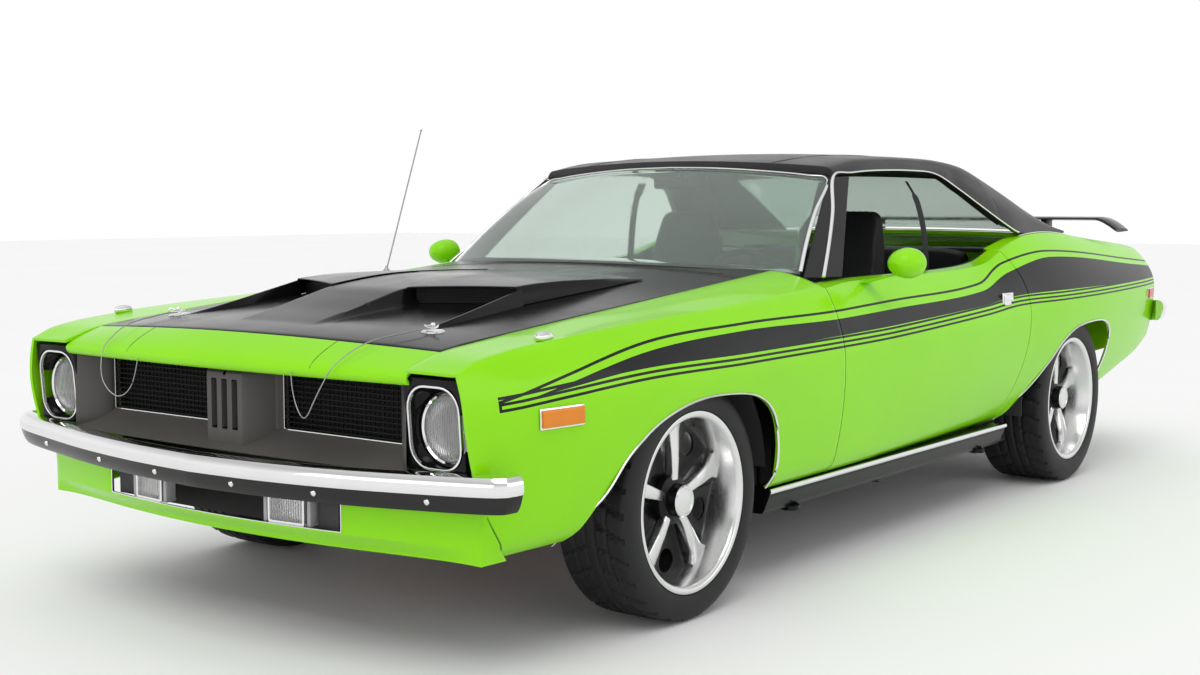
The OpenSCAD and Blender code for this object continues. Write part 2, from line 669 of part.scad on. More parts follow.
apron_x = hw - 462;
module engine_bay() {
    color(steel_grey) {
        // Firewall and toe board.
        outline_y(f(628), 11.7)
        polygon(concat(
            [[-hw + 232, floor_z], [hw - 232, floor_z], [hw - 232, 860]],
            [for (k = [0 : 10]) let (x = (1 - k / 5) * panel_x) [x, front_top_z(x, f(628)) - 12.8]],
            [[-hw + 232, 860]]));
        both_sides() {
            // Door hinge pillar.
            block([hw - 232, f(639), floor_z + 12.3], [hw - 187, f(850), 875]);
            block([hw - 232, f(769), 874], [hw - 187, f(850), 892.7]);
            // Inner fender and nose bracket.
            block([apron_x - 10, f(-691), 434], [apron_x, f(629), 740]);
            block([600, mouth_y + 10.3, 600], [hood_x - 25, f(-704), 640]);
        }
        // Radiator support.
        difference() {
            block([-hood_x + 25, f(-705), 434], [hood_x - 25, f(-690), 745]);
            block([-335, f(-706), 400], [335, f(-689), 705]);
        }
    }
}

module radiator() {
    color(trim_black) block([-334.7, f(-730), 365.3], [334.7, f(-680), 704.7]);
}

module engine_block() {
    color([0.75, 0.3, 0.12]) block([-290, f(-260), 334.3], [290, f(520), 760]);
}

rail_x = 395;
bracket_y = nose_y + bumper_t + rest_gap
    + lookup(rail_x + 35, [for (p = front_plan) [p[0] * hw / 932, p[1]]]);
module chassis_rails() {
    color(steel_grey) {
        both_sides() {
            block([rail_x - 35, valance_y(rail_x + 35) + 13.6, 334], [rail_x + 35, f(627.7), 433.7]);
            block([rail_x - 35, bracket_y, 426], [rail_x + 35, f(-800), 433.7]);
            block([490, r(-260), 380], [550, tail_plane_y - 16, 419.7]);
            // Lower control arm.
            block([420, f(-30), 262], [kingpin_x - 60, f(30), 290]);
            block([kingpin_x - 61, f(-12), 262], [kingpin_x + 4, f(12), 290]);
        }
        block([-430, f(-70), 250], [430, f(70), 334]);
        // Gearbox crossmember.
        block([-hw + 132.3, f(1250), 191.3], [hw - 132.3, f(1310), floor_z - rest_gap]);
    }
}

// Arched liner over one wheel, open below and to the outside.
module wheel_well(x0, x1, y, z, radius, low) {
    intersection() {
        translate([x0, y, z]) rotate([0, 90, 0])
        difference() {
            cylinder(h = x1 - x0, r = radius + 6, $fn = 72);
            translate([0, 0, 6]) cylinder(h = x1 - x0, r = radius, $fn = 72);
        }
        difference() {
            block([x0 - 1, y - radius - 10, low], [x1 + 1, y + radius + 10, z + radius + 10]);
            // Room for the axle or control arm.
            block([x0 - 2, y - 60, low - 1], [x0 + 8, y + 60, 400]);
        }
    }
}

module wheel_wells() {
    color(rubber_black)
    both_sides() {
        wheel_well(apron_x + rest_gap, hw - 80, front_y, front_z, 425, 360);
        wheel_well(604, hw - 80, rear_y, rear_z, 390, 300);
    }
}

module rear_axle() {
    color(trim_black) {
        rod_x(-605, 605, rear_y, rear_z, 38);
        both_sides() rod_x(604, rear_face_x - 70, rear_y, rear_z, spindle_r);
        translate([0, rear_y, rear_z]) rotate([90, 0, 0]) cylinder(h = 150, r = 80, center = true, $fn = 64);
        rod_y(0, f(1000), rear_y - 70, shaft_z, 36);
    }
}

spring_x = 520;
spring_line = path([[r(-587.7), 345], [r(-300), 306], [r(0), rear_z - 38.6], [r(350), 325], [r(700), 379.7]], 4);
module leaf_springs() {
    color(steel_grey)
    both_sides()
    profile_x(spring_x, 60, concat(spring_line, [for (i = [16 : -1 : 0]) spring_line[i] - [0, 14]]));
}

module exhaust() {
    color(chrome_grey)
    both_sides() {
        rod_y(250, f(350), r(180), 165, 26);
        rod_y(400, r(760), tail_y - 90, 300, pipe_r);
        rod_y(400, r(330), r(761), 300, 70);
        bar([
            [for (a = [315 : -45 : 0]) [250 + 20 * cos(a), r(165), 165 + 20 * sin(a)]],
            [for (a = [315 : -45 : 0]) [400 + 20 * cos(a), r(340), 300 + 20 * sin(a)]]
        ]);
    }
}

module fuel_tank() {
    color(steel_grey) block([-300, r(320), 235], [300, r(900), 419.7]);
}

module tail_panel() {
    color(lime)
    difference() {
        outline_y(tail_plane_y - 14, 14)
        polygon([[-560, 415], [560, 415], [hw - 130, 500], [hw - 90, 640], [hw - 95, 780], [deck_x + 40, 900],
            [-deck_x - 40, 900], [-hw + 95, 780], [-hw + 90, 640], [-hw + 130, 500]]);
        for (s = [-1, 1]) rod_y(s * plate_pitch / 2, tail_plane_y - 20, tail_plane_y + 20, 790, plate_hole_r);
    }
}

module tail_lights() {
    for (x = [-690, -520, 520, 690])
        color([0.65, 0.05, 0.05])
        rod_y(x, tail_plane_y + rest_gap, tail_plane_y + 24, 740, 66);
}

// ---------- cabin ----------

module dashboard() {
    color(trim_black)
    profile_x(0, body_w - 464.6, [[f(640), 640], [f(860), 600], [f(1010), 640], [f(1030), 720], [f(985), 800],
        [f(900), 868], [f(760), 878], [f(640), 878]]);
}

column_tilt = 24;
module steering_wheel() {
    color(trim_black)
    difference() {
        translate([seat_x, f(1165), 790]) rotate([90 + column_tilt, 0, 0]) {
            rotate_extrude($fn = 48) translate([wheel_rim_r, 0]) circle(r = 13, $fn = 20);
            cylinder(h = 22, r = 40, $fn = 40);
            for (a = [0, 120, 240]) rotate(a + 90) translate([30, -14, 2]) cube([wheel_rim_r - 30, 28, 8]);
            translate([0, 0, 21]) cylinder(h = 190, r = 24, $fn = 32);
        }
        block([seat_x - 40, f(900), 500], [seat_x + 40, f(1030.3), 900]);
    }
}

module bucket_seats() {
    color(trim_black)
    for (x = [-seat_x, seat_x]) {
        profile_x(x, seat_w, [[f(1180), 300], [f(1180), 420], [f(1220), 465], [f(1650), 430], [f(1680), 300]]);
        profile_x(x, seat_w - 60, [[f(1655), 380], [f(1655), 470], [f(1790), 1000], [f(1830), 1095],
            [f(1880), 1100], [f(1890), 1000], [f(1790), 380]]);
        block([x - 180, f(1250), floor_z + 12.3], [x - 150, f(1600), 299.7]);
        block([x + 150, f(1250), floor_z + 12.3], [x + 180, f(1600), 299.7]);
    }
}

module rear_seat() {
    color(trim_black) {
        profile_x(0, 1120, [[r(-570), 372.3], [r(-570), 430], [r(-530), 465], [r(-330), 437], [r(-290), 437],
            [r(-290), 372.3]]);
        profile_x(0, 1120, [[r(-345), 430], [r(-200), 935], [r(-120), 948], [r(-100), 942], [r(-100), 900],
            [r(-258), 440], [r(-291), 436]]);
    }
}

module parcel_shelf() {
    color(trim_black) block([-600, r(-99.7), 926], [600, r(200), 941]);
}

module quarter_trim() {
    color(trim_black)
    both_sides()
    profile_x(hw - 200, 30, [[door_seam_y(sill_top) + 30, floor_z + 12.3], [door_seam_y(600) + 30, 600],
        [door_rear_y + 30, 925], [r(-300), 980], [r(-100), 980], [r(-100), 760], [r(-300), 700],
        [r(-415), 500], [r(-430), floor_z + 12.3]]);
}

// ---------- small fittings ----------

module antenna() {
    base_x = -(hw - 220);
    base_y = f(460);
    base_z = front_top_z(base_x, base_y);
    color(chrome_grey)
    translate([base_x, base_y, base_z + 1.8]) {
        cylinder(h = 14, r = 14, $fn = 32);
        rotate([-20, 0, 0]) cylinder(h = aerial_l, r = 2.5, $fn = 16);
    }
}

function lanyard_points(s) = [
    [s * 499, f(-607), 812], [s * 494, f(-650), 812], [s * 488, f(-700), 806], [s * 480, f(-750), 800],
    [s * 470, f(-800), 790], [s * 458, f(-850), 768], [s * 446, f(-895), 735], [s * 432, f(-915), 695],
    [s * 414, f(-925), 655], [s * 392, f(-922), 625], [s * 368, f(-914), 610], [s * 344, f(-906), 616],
    [s * 322, f(-900), 640], [s * 308, f(-897), 675], [s * 300, f(-894), 714]
];

module lanyard(s) {
    pts = path(lanyard_points(s), 2);
    n = len(pts) - 1;
    bar([for (i = [0 : n])
        let (d = pts[min(n, i + 1)] - pts[max(0, i - 1)], t = d / norm(d), a = cross(t, [1, 0, 0]),
            u = a / norm(a), w = cross(t, u))
        [for (k = [0 : 7]) pts[i] + lanyard_d / 2 * (u * cos(45 * k) + w * sin(45 * k))]]);
}

module lanyard_left() {
    color(chrome_grey) lanyard(1);
}

module lanyard_right() {
    color(chrome_grey) lanyard(-1);
}

deck_grid = [for (u = [0 : 0.2 : 1])
    [for (k = [0 : 8])
        let (x = mix(deck_x - seam / 2, -deck_x + seam / 2, k / 8), y = mix(deck_front_y, deck_rear_y, u))
        [x, y, rear_top_z(x, y)]]];

module deck_lid() {
    color(lime)
    wall(deck_grid, [for (row = deck_grid) [for (p = row) [p[0], p[1], p[2] - 20]]]);
}

wing_z = 1057;
module rear_wing() {
    color(satin_black) {
        profile_x(0, 1400, [[r(820), wing_z - 4], [r(835), wing_z + 4], [r(920), wing_z + 8], [r(1030), wing_z],
            [r(1030), wing_z - 4], [r(920), wing_z - 8]]);
        both_sides() {
            bar([
                [[699, r(820), wing_z - 4], [699, r(920), wing_z - 8], [699, r(1030), wing_z - 4],
                    [699, r(1030), wing_z], [699, r(920), wing_z + 8], [699, r(835), wing_z + 4]],
                [[770, r(860), wing_z - 54], [770, r(950), wing_z - 58], [770, r(1030), wing_z - 56],
                    [770, r(1030), wing_z - 50], [770, r(950), wing_z - 44], [770, r(865), wing_z - 48]]
            ]);
            profile_x(430, 40, [[r(860), rear_top_z(430, r(860)) + 1], [r(880), wing_z], [r(960), wing_z],
                [r(960), rear_top_z(430, r(860)) + 1]]);
        }
    }
}

// ---------- running gear ----------

// One rim about its own Z axis, outer flange at z = 0.
module rim(w) {
    difference() {
        union() {
            rotate_extrude($fn = 96)
            polygon([[rim_r - 3, 0], [rim_r + 4, -6], [rim_r, -14], [rim_r - 19, -18], [rim_r - 21, -70],
                [rim_r - 38, -100], [rim_r - 38, 30 - w], [rim_r - 21, 20 - w], [rim_r, 12 - w], [rim_r + 3, -w],
                [rim_r - 5, -w], [rim_r - 29, 24 - w], [rim_r - 46, 34 - w], [rim_r - 46, -104],
                [rim_r - 30, -66], [rim_r - 27, -16], [rim_r - 7, -4]]);
            for (a = [0 : 72 : 288])
                rotate(a) translate([0, 0, -100]) linear_extrude(34)
                polygon([[40, -30], [120, -20], [rim_r - 42, -30], [rim_r - 42, 30], [120, 20], [40, 30]]);
            translate([0, 0, -125]) cylinder(h = 75, r = 68, $fn = 64);
            translate([0, 0, -60]) cylinder(h = 32, r = 30, $fn = 48);
        }
        translate([0, 0, -126]) cylinder(h = 60, r = spindle_r + hub_gap, $fn = 48);
    }
}

// One tyre about its own Z axis, seated on a rim whose flange is at z = 0.
module tyre(radius, w) {
    b = rim_r;
    c = -w / 2 + 4;
    half = w / 2;
    rotate_extrude($fn = 96)
    polygon([[b + 4.5, -1], [b + 4.5, -10], [b + 0.5, -14.5], [b - 18.5, -19], [b - 18.5, 2 * c + 21],
        [b + 0.5, 2 * c + 16], [b + 4.5, 2 * c + 10], [b + 4.5, 2 * c + 1], [b + 22, c - half + 3],
        [mix(b, radius, 0.5), c - half], [radius - 24, c - half + 4], [radius - 10, c - half + 14],
        [radius - 1, c - half + 30], [radius, c - half + 50], [radius, c + half - 50],
        [radius - 1, c + half - 30], [radius - 10, c + half - 14], [radius - 24, c + half - 4],
        [mix(b, radius, 0.5), c + half], [b + 22, c + half - 3]]);
}

module at_wheel(x, y, z, s) {
    translate([s * x, y, z]) rotate([0, s * 90, 0]) children();
}

front_face_x = front_wheel_x - 8;
rear_face_x = rear_wheel_x - 8;
function rim_w(tyre_w) = tyre_w - 8;

module rim_front_left() {
    color(chrome_grey) at_wheel(front_face_x, front_y, front_z, 1) rim(rim_w(front_tyre_w));
}

module rim_front_right() {
    color(chrome_grey) at_wheel(front_face_x, front_y, front_z, -1) rim(rim_w(front_tyre_w));
}

module rim_rear_left() {
    color(chrome_grey) at_wheel(rear_face_x, rear_y, rear_z, 1) rim(rim_w(rear_tyre_w));
}

module rim_rear_right() {
    color(chrome_grey) at_wheel(rear_face_x, rear_y, rear_z, -1) rim(rim_w(rear_tyre_w));
}

module tyre_front_left() {
    color(rubber_black) at_wheel(front_face_x, front_y, front_z, 1) tyre(front_tyre_r, front_tyre_w);
}

module tyre_front_right() {
    color(rubber_black) at_wheel(front_face_x, front_y, front_z, -1) tyre(front_tyre_r, front_tyre_w);
}

module tyre_rear_left() {
    color(rubber_black) at_wheel(rear_face_x, rear_y, rear_z, 1) tyre(rear_tyre_r, rear_tyre_w);
}

module tyre_rear_right() {
    color(rubber_black) at_wheel(rear_face_x, rear_y, rear_z, -1) tyre(rear_tyre_r, rear_tyre_w);
}

// Steering knuckle with its spindle and brake disc.
module knuckle() {
    rod_x(kingpin_x - 8, front_face_x - 70, front_y, front_z, spindle_r);
    rod_x(kingpin_x + 16, kingpin_x + 40, front_y, front_z, 140);
    translate([kingpin_x, front_y, 290.3]) cylinder(h = 150, r = 26, $fn = 48);
}

module knuckle_left() {
    color(steel_grey) knuckle();
}

module knuckle_right() {
    color(steel_grey) mirror([1, 0, 0]) knuckle();
}

floor_pan();
rocker_sills();
engine_bay();
cowl_panel();
radiator();
engine_block();
chassis_rails();
wheel_wells();
rear_axle();
leaf_springs();
exhaust();
fuel_tank();
front_fenders();
header_panel();
grille();
headlights();
front_valance();
front_bumper();
side_markers();
quarter_panels();
quarter_trim();
roof();
windshield();
rear_window();
parcel_shelf();
tail_panel();
tail_lights();
rear_bumper();
dashboard();
steering_wheel();
bucket_seats();
rear_seat();
antenna();
hood();
hood_pins();
lanyard_left();
lanyard_right();
deck_lid();
rear_wing();
door_left();
door_right();
knuckle_left();
knuckle_right();
rim_front_left();
tyre_front_left();
rim_front_right();
tyre_front_right();
rim_rear_left();
tyre_rear_left();
rim_rear_right();
tyre_rear_right();
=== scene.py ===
"""Looks of a lime green two-door muscle car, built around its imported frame.

Sizes are in millimetres along +X left, +Y rear and +Z up, as in the car's own drawing,
and every mesh is scaled to metres as it is placed.
"""

import logging
import math
from dataclasses import dataclass, field
from enum import Enum
from typing import Callable, Sequence

import bpy
from mathutils import Euler, Matrix, Vector


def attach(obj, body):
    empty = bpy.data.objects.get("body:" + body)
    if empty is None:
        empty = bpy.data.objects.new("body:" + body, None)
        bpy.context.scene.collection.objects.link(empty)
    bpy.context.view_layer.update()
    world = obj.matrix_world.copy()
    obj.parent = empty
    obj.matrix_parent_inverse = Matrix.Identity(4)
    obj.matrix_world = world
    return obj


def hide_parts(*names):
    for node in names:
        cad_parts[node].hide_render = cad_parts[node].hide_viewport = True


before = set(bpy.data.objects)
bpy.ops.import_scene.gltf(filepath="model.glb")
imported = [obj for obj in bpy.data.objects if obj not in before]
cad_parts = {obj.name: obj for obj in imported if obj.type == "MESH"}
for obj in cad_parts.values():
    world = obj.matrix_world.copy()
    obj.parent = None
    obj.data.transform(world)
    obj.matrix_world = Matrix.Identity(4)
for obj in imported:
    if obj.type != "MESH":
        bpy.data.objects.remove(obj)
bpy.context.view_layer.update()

LOG = logging.getLogger("muscle_car")
MM = 0.001
Point = tuple[float, float, float]
Knots = Sequence[tuple[float, float]]
Piece = bpy.types.Object
TAU = 2 * math.pi
LEFT, BACK, UP = (1, 0, 0), (0, 1, 0), (0, 0, 1)


# ---------- curves and the body's surfaces ----------


def mix(a: float, b: float, t: float) -> float:
    """Value a share t of the way from a to b."""
    return a + (b - a) * t


def clamp(t: float) -> float:
    """t kept between 0 and 1."""
    return min(1.0, max(0.0, t))


def curve(knots: Knots, s: float) -> float:
    """Smooth curve through knots.

    Args:
        knots: (station, value) pairs, in rising order of station.
        s: The station asked for.

    Returns:
        The value there; past either end it stays at that end's value.
    """
    i = 0
    while i < len(knots) - 2 and s >= knots[i + 1][0]:
        i += 1

    def slope(j: int) -> float:
        """Slope at a knot."""
        a, b = max(0, j - 1), min(len(knots) - 1, j + 1)
        return (knots[b][1] - knots[a][1]) / (knots[b][0] - knots[a][0])

    h = knots[i + 1][0] - knots[i][0]
    t = clamp((s - knots[i][0]) / h)
    t2, t3 = t * t, t * t * t
    return (
        knots[i][1] * (2 * t3 - 3 * t2 + 1)
        + knots[i + 1][1] * (3 * t2 - 2 * t3)
        + h * slope(i) * (t3 - 2 * t2 + t)
        + h * slope(i + 1) * (t3 - t2)
    )


def along(points: Sequence[Sequence[float]], share: float) -> list[float]:
    """Point on a smooth path through points, a share of the way by number of gaps."""
    gaps = len(points) - 1
    s = clamp(share) * gaps
    i = min(int(s), gaps - 1)
    t = s - i
    p = [points[max(0, i - 1)], points[i], points[i + 1], points[min(gaps, i + 2)]]
    return [
        0.5 * (2 * b + (c - a) * t + (2 * a - 5 * b + 4 * c - d) * t * t + (3 * b - a - 3 * c + d) * t**3)
        for a, b, c, d in zip(*p)
    ]


HW = 932.0
LENGTH = 4895.0
WHEELBASE = 2743.0
FRONT = 976 - LENGTH / 2
REAR = FRONT + WHEELBASE
FRONT_R, REAR_R = 324.0, 336.0
SEAM = 5.0


def f(d: float) -> float:
    """Station d behind the front axle."""
    return FRONT + d


def r(d: float) -> float:
    """Station d behind the rear axle."""
    return REAR + d


def front_knots(*pairs: tuple[float, float]) -> list[tuple[float, float]]:
    """Knots whose stations are taken from the front axle."""
    return [(f(y), v) for y, v in pairs]


def rear_knots(*pairs: tuple[float, float]) -> list[tuple[float, float]]:
    """Knots whose stations are taken from the rear axle."""
    return [(r(y), v) for y, v in pairs]


@dataclass(frozen=True)
class BodyShape:
    """The surfaces of the bodywork, as curves along the car."""

    wide_x: Knots = tuple(
        front_knots((-880, HW - 92), (-700, HW - 44), (-450, HW - 16), (-150, HW + 2), (100, HW + 4),
                    (450, HW - 3), (771, HW - 4))
        + rear_knots((-1000, HW), (-520, HW + 1), (-180, HW + 14), (150, HW + 16), (500, HW + 2),
                     (900, HW - 30), (1130, HW - 62)))
    wide_z: Knots = tuple(front_knots((-880, 610), (-150, 628), (771, 630))
                          + rear_knots((-520, 690), (0, 735), (1130, 745)))
    crest_x: Knots = tuple(
        front_knots((-880, HW - 112), (-560, HW - 88), (-150, HW - 82), (340, HW - 78), (755, HW - 76),
                    (960, HW - 95))
        + rear_knots((-1040, HW - 107), (-750, HW - 108), (-560, HW - 112), (-350, HW - 122),
                     (-70, HW - 132), (430, HW - 132), (1030, HW - 155)))
    crest_z: Knots = tuple(
        front_knots((-880, 735), (-788, 769), (-565, 797), (-155, 823), (338, 843), (756, 866), (960, 880))
        + rear_knots((-1040, 887), (-750, 903), (-565, 946), (-400, 985), (-250, 1003), (-70, 1008),
                     (130, 1000), (430, 975), (730, 955), (1030, 930), (1130, 912)))
    tuck: Knots = tuple(front_knots((-880, 0.0005), (771, 0.00042))
                        + rear_knots((-520, 0.0007), (1130, 0.0006)))
    hood_seam_z: Knots = tuple(front_knots((-880, 738), (-746, 775), (-453, 806), (66, 853), (765, 916)))
    hood_mid_z: Knots = tuple(front_knots((-900, 745), (-800, 795), (-400, 838), (66, 886), (580, 926),
                                          (765, 930)))
    deck_mid_z: Knots = tuple(rear_knots((-400, 1010), (130, 1012), (430, 996), (730, 978), (1030, 955),
                                         (1130, 938)))
    door_seam: Knots = ((290, -66), (450, 8), (600, 42), (700, 50), (800, 48), (880, 32), (960, 0))
    hood_x: float = 660
    deck_x: float = 625
    sill_top: float = 300
    door_front: float = f(771.5)
    door_rear: float = f(771.5) + 1403
    door_inner: float = HW - 180
    tail: float = LENGTH / 2 - 62

    def side_x(self, y: float, z: float) -> float:
        """Half width of the body side at a station and height."""
        x, zw = curve(self.wide_x, y), curve(self.wide_z, y)
        if z >= zw:
            return x - (x - curve(self.crest_x, y)) * ((z - zw) / (curve(self.crest_z, y) - zw)) ** 2
        return x - curve(self.tuck, y) * (zw - z) ** 2 - 0.0153 * max(0.0, 340 - z) ** 2

    def front_z(self, x: float, y: float) -> float:
        """Height of the nose, hood, cowl and fender tops."""
        a = abs(x)
        seam = curve(self.hood_seam_z, y)
        if a <= self.hood_x:
            return mix(seam, curve(self.hood_mid_z, y), 1 - (a / self.hood_x) ** 2)
        reach = (a - self.hood_x) / (curve(self.crest_x, y) - self.hood_x)
        return mix(seam, curve(self.crest_z, y), reach**1.7)

    def rear_z(self, x: float, y: float) -> float:
        """Height of the quarter tops and deck lid."""
        share = min(1.0, abs(x) / curve(self.crest_x, y))
        return mix(curve(self.deck_mid_z, y), curve(self.crest_z, y), share * share)

    def door_seam_y(self, z: float) -> float:
        """Station of the door's rear seam at a height."""
        return self.door_rear + curve(self.door_seam, z)

    def hood_front(self, x: float) -> float:
        """Station of the hood's front edge."""
        return f(-746) - 55 * (1 - (x / self.hood_x) ** 2)

    def glass_base(self, x: float) -> float:
        """Station of the windshield's lower edge."""
        return f(825) - 190 * (1 - (x / (HW - 200)) ** 2)

    def quarter_inner(self, y: float) -> float:
        """Half width of the inner edge of a quarter panel's top."""
        line = rear_knots((-568.5, self.door_inner + 4), (-300, HW - 170), (20, HW - 200), (230, 630),
                          (300, 630), (1130, 630))
        return max(630.0, curve(line, y))


BODY = BodyShape()


@dataclass(frozen=True)
class StripeLines:
    """Heights of the side stripe's edges along the car, from front to rear."""

    pin_top: Knots = ((-2245, 674), (-1719, 773), (-1239, 795), (-732, 801), (-316, 814), (403, 840),
                      (676, 908), (1079, 943), (2042, 885), (2420, 862))
    band_top: Knots = ((-2196, 664), (-1719, 748), (-1238, 773), (-732, 774), (-315, 785), (404, 811),
                       (678, 870), (1080, 916), (2044, 859), (2420, 838))
    band_low: Knots = ((-2243, 663), (-1733, 712), (-1254, 716), (-749, 724), (-333, 734), (383, 762),
                       (659, 782), (1063, 787), (2088, 787), (2420, 787))
    pin_low: Knots = ((-2243, 647), (-1733, 681), (-1253, 683), (-748, 687), (-332, 695), (385, 726),
                      (661, 744), (1065, 747), (2160, 757), (2420, 760))

    def apply(self, piece: Piece) -> None:
        """Writes the stripe's distances on a panel's points.

        Args:
            piece: The painted panel, with its final mesh.
        """
        mesh = piece.data
        high = mesh.attributes.new("stripe_high", "FLOAT_VECTOR", "POINT")
        low = mesh.attributes.new("stripe_low", "FLOAT_VECTOR", "POINT")
        for vertex in mesh.vertices:
            x, y, z = (c / MM for c in vertex.co)
            side = 1.0 if abs(x) > 780 else 0.0
            high.data[vertex.index].vector = (z - curve(self.pin_top, y), z - curve(self.band_top, y), side)
            low.data[vertex.index].vector = (z - curve(self.band_low, y), z - curve(self.pin_low, y), y)


# ---------- the bench: tools for making meshes ----------


def deselect() -> None:
    """Leaves nothing selected and no object active."""
    for piece in bpy.context.selected_objects:
        piece.select_set(False)
    bpy.context.view_layer.objects.active = None


def take(piece: Piece) -> None:
    """Makes piece the only selected and active object."""
    deselect()
    piece.select_set(True)
    bpy.context.view_layer.objects.active = piece


def edit(piece: Piece, *steps: Callable[[], object]) -> None:
    """Runs operators in edit mode with everything selected.

    Args:
        piece: The mesh to edit.
        steps: Operators to call in turn.
    """
    take(piece)
    bpy.ops.object.mode_set(mode="EDIT")
    bpy.ops.mesh.select_all(action="SELECT")
    for step in steps:
        step()
    bpy.ops.object.mode_set(mode="OBJECT")


def finish_modifier(piece: Piece, kind: str, **settings: object) -> None:
    """Adds one modifier and applies it.

    Args:
        piece: The object that takes it.
        kind: Blender's name of the modifier type.
        settings: Its settings.
    """
    take(piece)
    modifier = piece.modifiers.new(kind.title(), kind)
    for name, value in settings.items():
        setattr(modifier, name, value)
    bpy.ops.object.modifier_apply(modifier=modifier.name)


def smooth(piece: Piece, degrees: float = 35) -> None:
    """Shades a piece smooth, apart from edges sharper than an angle."""
    take(piece)
    bpy.ops.object.shade_smooth_by_angle(angle=math.radians(degrees))


def outwards(piece: Piece) -> None:
    """Merges doubles and turns every face outwards."""
    edit(piece, lambda: bpy.ops.mesh.remove_doubles(threshold=1e-5),
         lambda: bpy.ops.mesh.normals_make_consistent(inside=False))


def sheet_of(name: str, rows: int, cols: int, place: Callable[[float, float], Point]) -> Piece:
    """An open curved sheet, shaped from a flat grid.

    Args:
        name: The piece's name.
        rows: Faces along the first way.
        cols: Faces along the second way.
        place: Gives the point for shares (u, v) of the two ways, in millimetres.

    Returns:
        The new object.
    """
    deselect()
    bpy.ops.mesh.primitive_grid_add(x_subdivisions=rows, y_subdivisions=cols, size=1)
    piece = bpy.context.object
    piece.name = name
    piece.data.name = name
    for vertex in piece.data.vertices:
        vertex.co = Vector(place(vertex.co.x + 0.5, vertex.co.y + 0.5)) * MM
    return piece


def panel_of(name: str, rows: int, cols: int, place: Callable[[float, float], Point], thick: float,
             edge: float = 0.8, out: bool = True) -> Piece:
    """A curved panel with a thickness and softened edges.

    Args:
        name: The piece's name.
        rows: Faces along the first way.
        cols: Faces along the second way.
        place: Gives the outer point for shares (u, v), in millimetres.
        thick: Thickness inwards, in millimetres.
        edge: Radius of its edges, or 0 for sharp ones.
        out: True where u x v points outwards.

    Returns:
        The new object.
    """
    piece = sheet_of(name, rows, cols, place)
    if not out:
        edit(piece, bpy.ops.mesh.flip_normals)
    finish_modifier(piece, "SOLIDIFY", thickness=thick * MM, offset=-1)
    if edge:
        finish_modifier(piece, "BEVEL", width=edge * MM, segments=2, limit_method="ANGLE",
                        angle_limit=math.radians(60))
    smooth(piece, 40)
    return piece


def sweep(name: str, count: int, ring: Callable[[float], Sequence[Point]], closed: bool = False,
          angle: float = 40) -> Piece:
    """A solid lofted through rings of points.

    Args:
        name: The piece's name.
        count: Number of gaps between rings.
        ring: Gives the ring at a share of the way, in millimetres.
        closed: True where the last ring is the first.
        angle: Sharpest angle that is shaded smooth, in degrees.

    Returns:
        The new object, closed and facing outwards.
    """
    rings = [ring(i / count) for i in range(count + 1)]
    size = len(rings[0])
    piece = sheet_of(name, count, size, lambda u, v: rings[round(u * count)][round(v * size) % size])
    steps = [lambda: bpy.ops.mesh.remove_doubles(threshold=1e-5)]
    if not closed:
        steps += [lambda: bpy.ops.mesh.select_all(action="SELECT"), lambda: bpy.ops.mesh.fill_holes(sides=0)]
    steps += [lambda: bpy.ops.mesh.select_all(action="SELECT"),
              lambda: bpy.ops.mesh.normals_make_consistent(inside=False)]
    edit(piece, *steps)
    smooth(piece, angle)
    return piece


def tube(name: str, points: Sequence[Sequence[float]], radius: float, sides: int = 10, per_gap: int = 6,
         flat: float = 1.0) -> Piece:
    """A round or oval rod along a smooth path.

    Args:
        name: The piece's name.
        points: Path, in millimetres.
        radius: Half of its width.
        sides: Sides of its section.
        per_gap: Rings to each gap between points.
        flat: Height of the section as a share of its width.

    Returns:
        The new object.
    """
    count = (len(points) - 1) * per_gap

    def ring(share: float) -> list[Point]:
        """One ring of the sweep."""
        here = Vector(along(points, share))
        step = 0.5 / count
        ahead = Vector(along(points, share + step)) - Vector(along(points, share - step))
        ahead.normalize()
        side = ahead.cross(Vector(UP) if abs(ahead.z) < 0.9 else Vector(LEFT)).normalized()
        up = side.cross(ahead)
        return [tuple(here + radius * (side * math.cos(a) + flat * up * math.sin(a)))
                for a in (TAU * k / sides for k in range(sides))]

    return sweep(name, count, ring, angle=60)


def lathe(name: str, profile: Sequence[tuple[float, float]], centre: Point, axis: Point,
          steps: int = 64) -> Piece:
    """A turned piece: a profile is drawn by extrusion and spun round an axis.

    Args:
        name: The piece's name.
        profile: (radius, distance along the axis) pairs, in millimetres.
        centre: Where the axis starts.
        axis: Its direction.
        steps: Steps to a turn.

    Returns:
        The new object.
    """
    along_axis = Vector(axis).normalized()
    out = along_axis.cross(Vector(UP) if abs(along_axis.z) < 0.9 else Vector(LEFT)).normalized()
    base = Vector(centre)
    places = [(base + out * radius + along_axis * far) * MM for radius, far in profile]
    deselect()
    bpy.ops.mesh.primitive_plane_add(size=0.001, location=places[0])
    piece = bpy.context.object
    bpy.ops.object.transform_apply(location=True)
    bpy.ops.object.mode_set(mode="EDIT")
    bpy.ops.mesh.select_all(action="SELECT")
    bpy.ops.mesh.merge(type="CENTER")
    for a, b in zip(places, places[1:]):
        bpy.ops.mesh.extrude_region_move(TRANSFORM_OT_translate={"value": tuple(b - a)})
    bpy.ops.mesh.select_all(action="SELECT")
    bpy.ops.mesh.spin(steps=steps, angle=TAU, center=tuple(base * MM), axis=tuple(along_axis))
    bpy.ops.object.mode_set(mode="OBJECT")
    piece.name = name
    piece.data.name = name
    outwards(piece)
    smooth(piece, 35)
    return piece


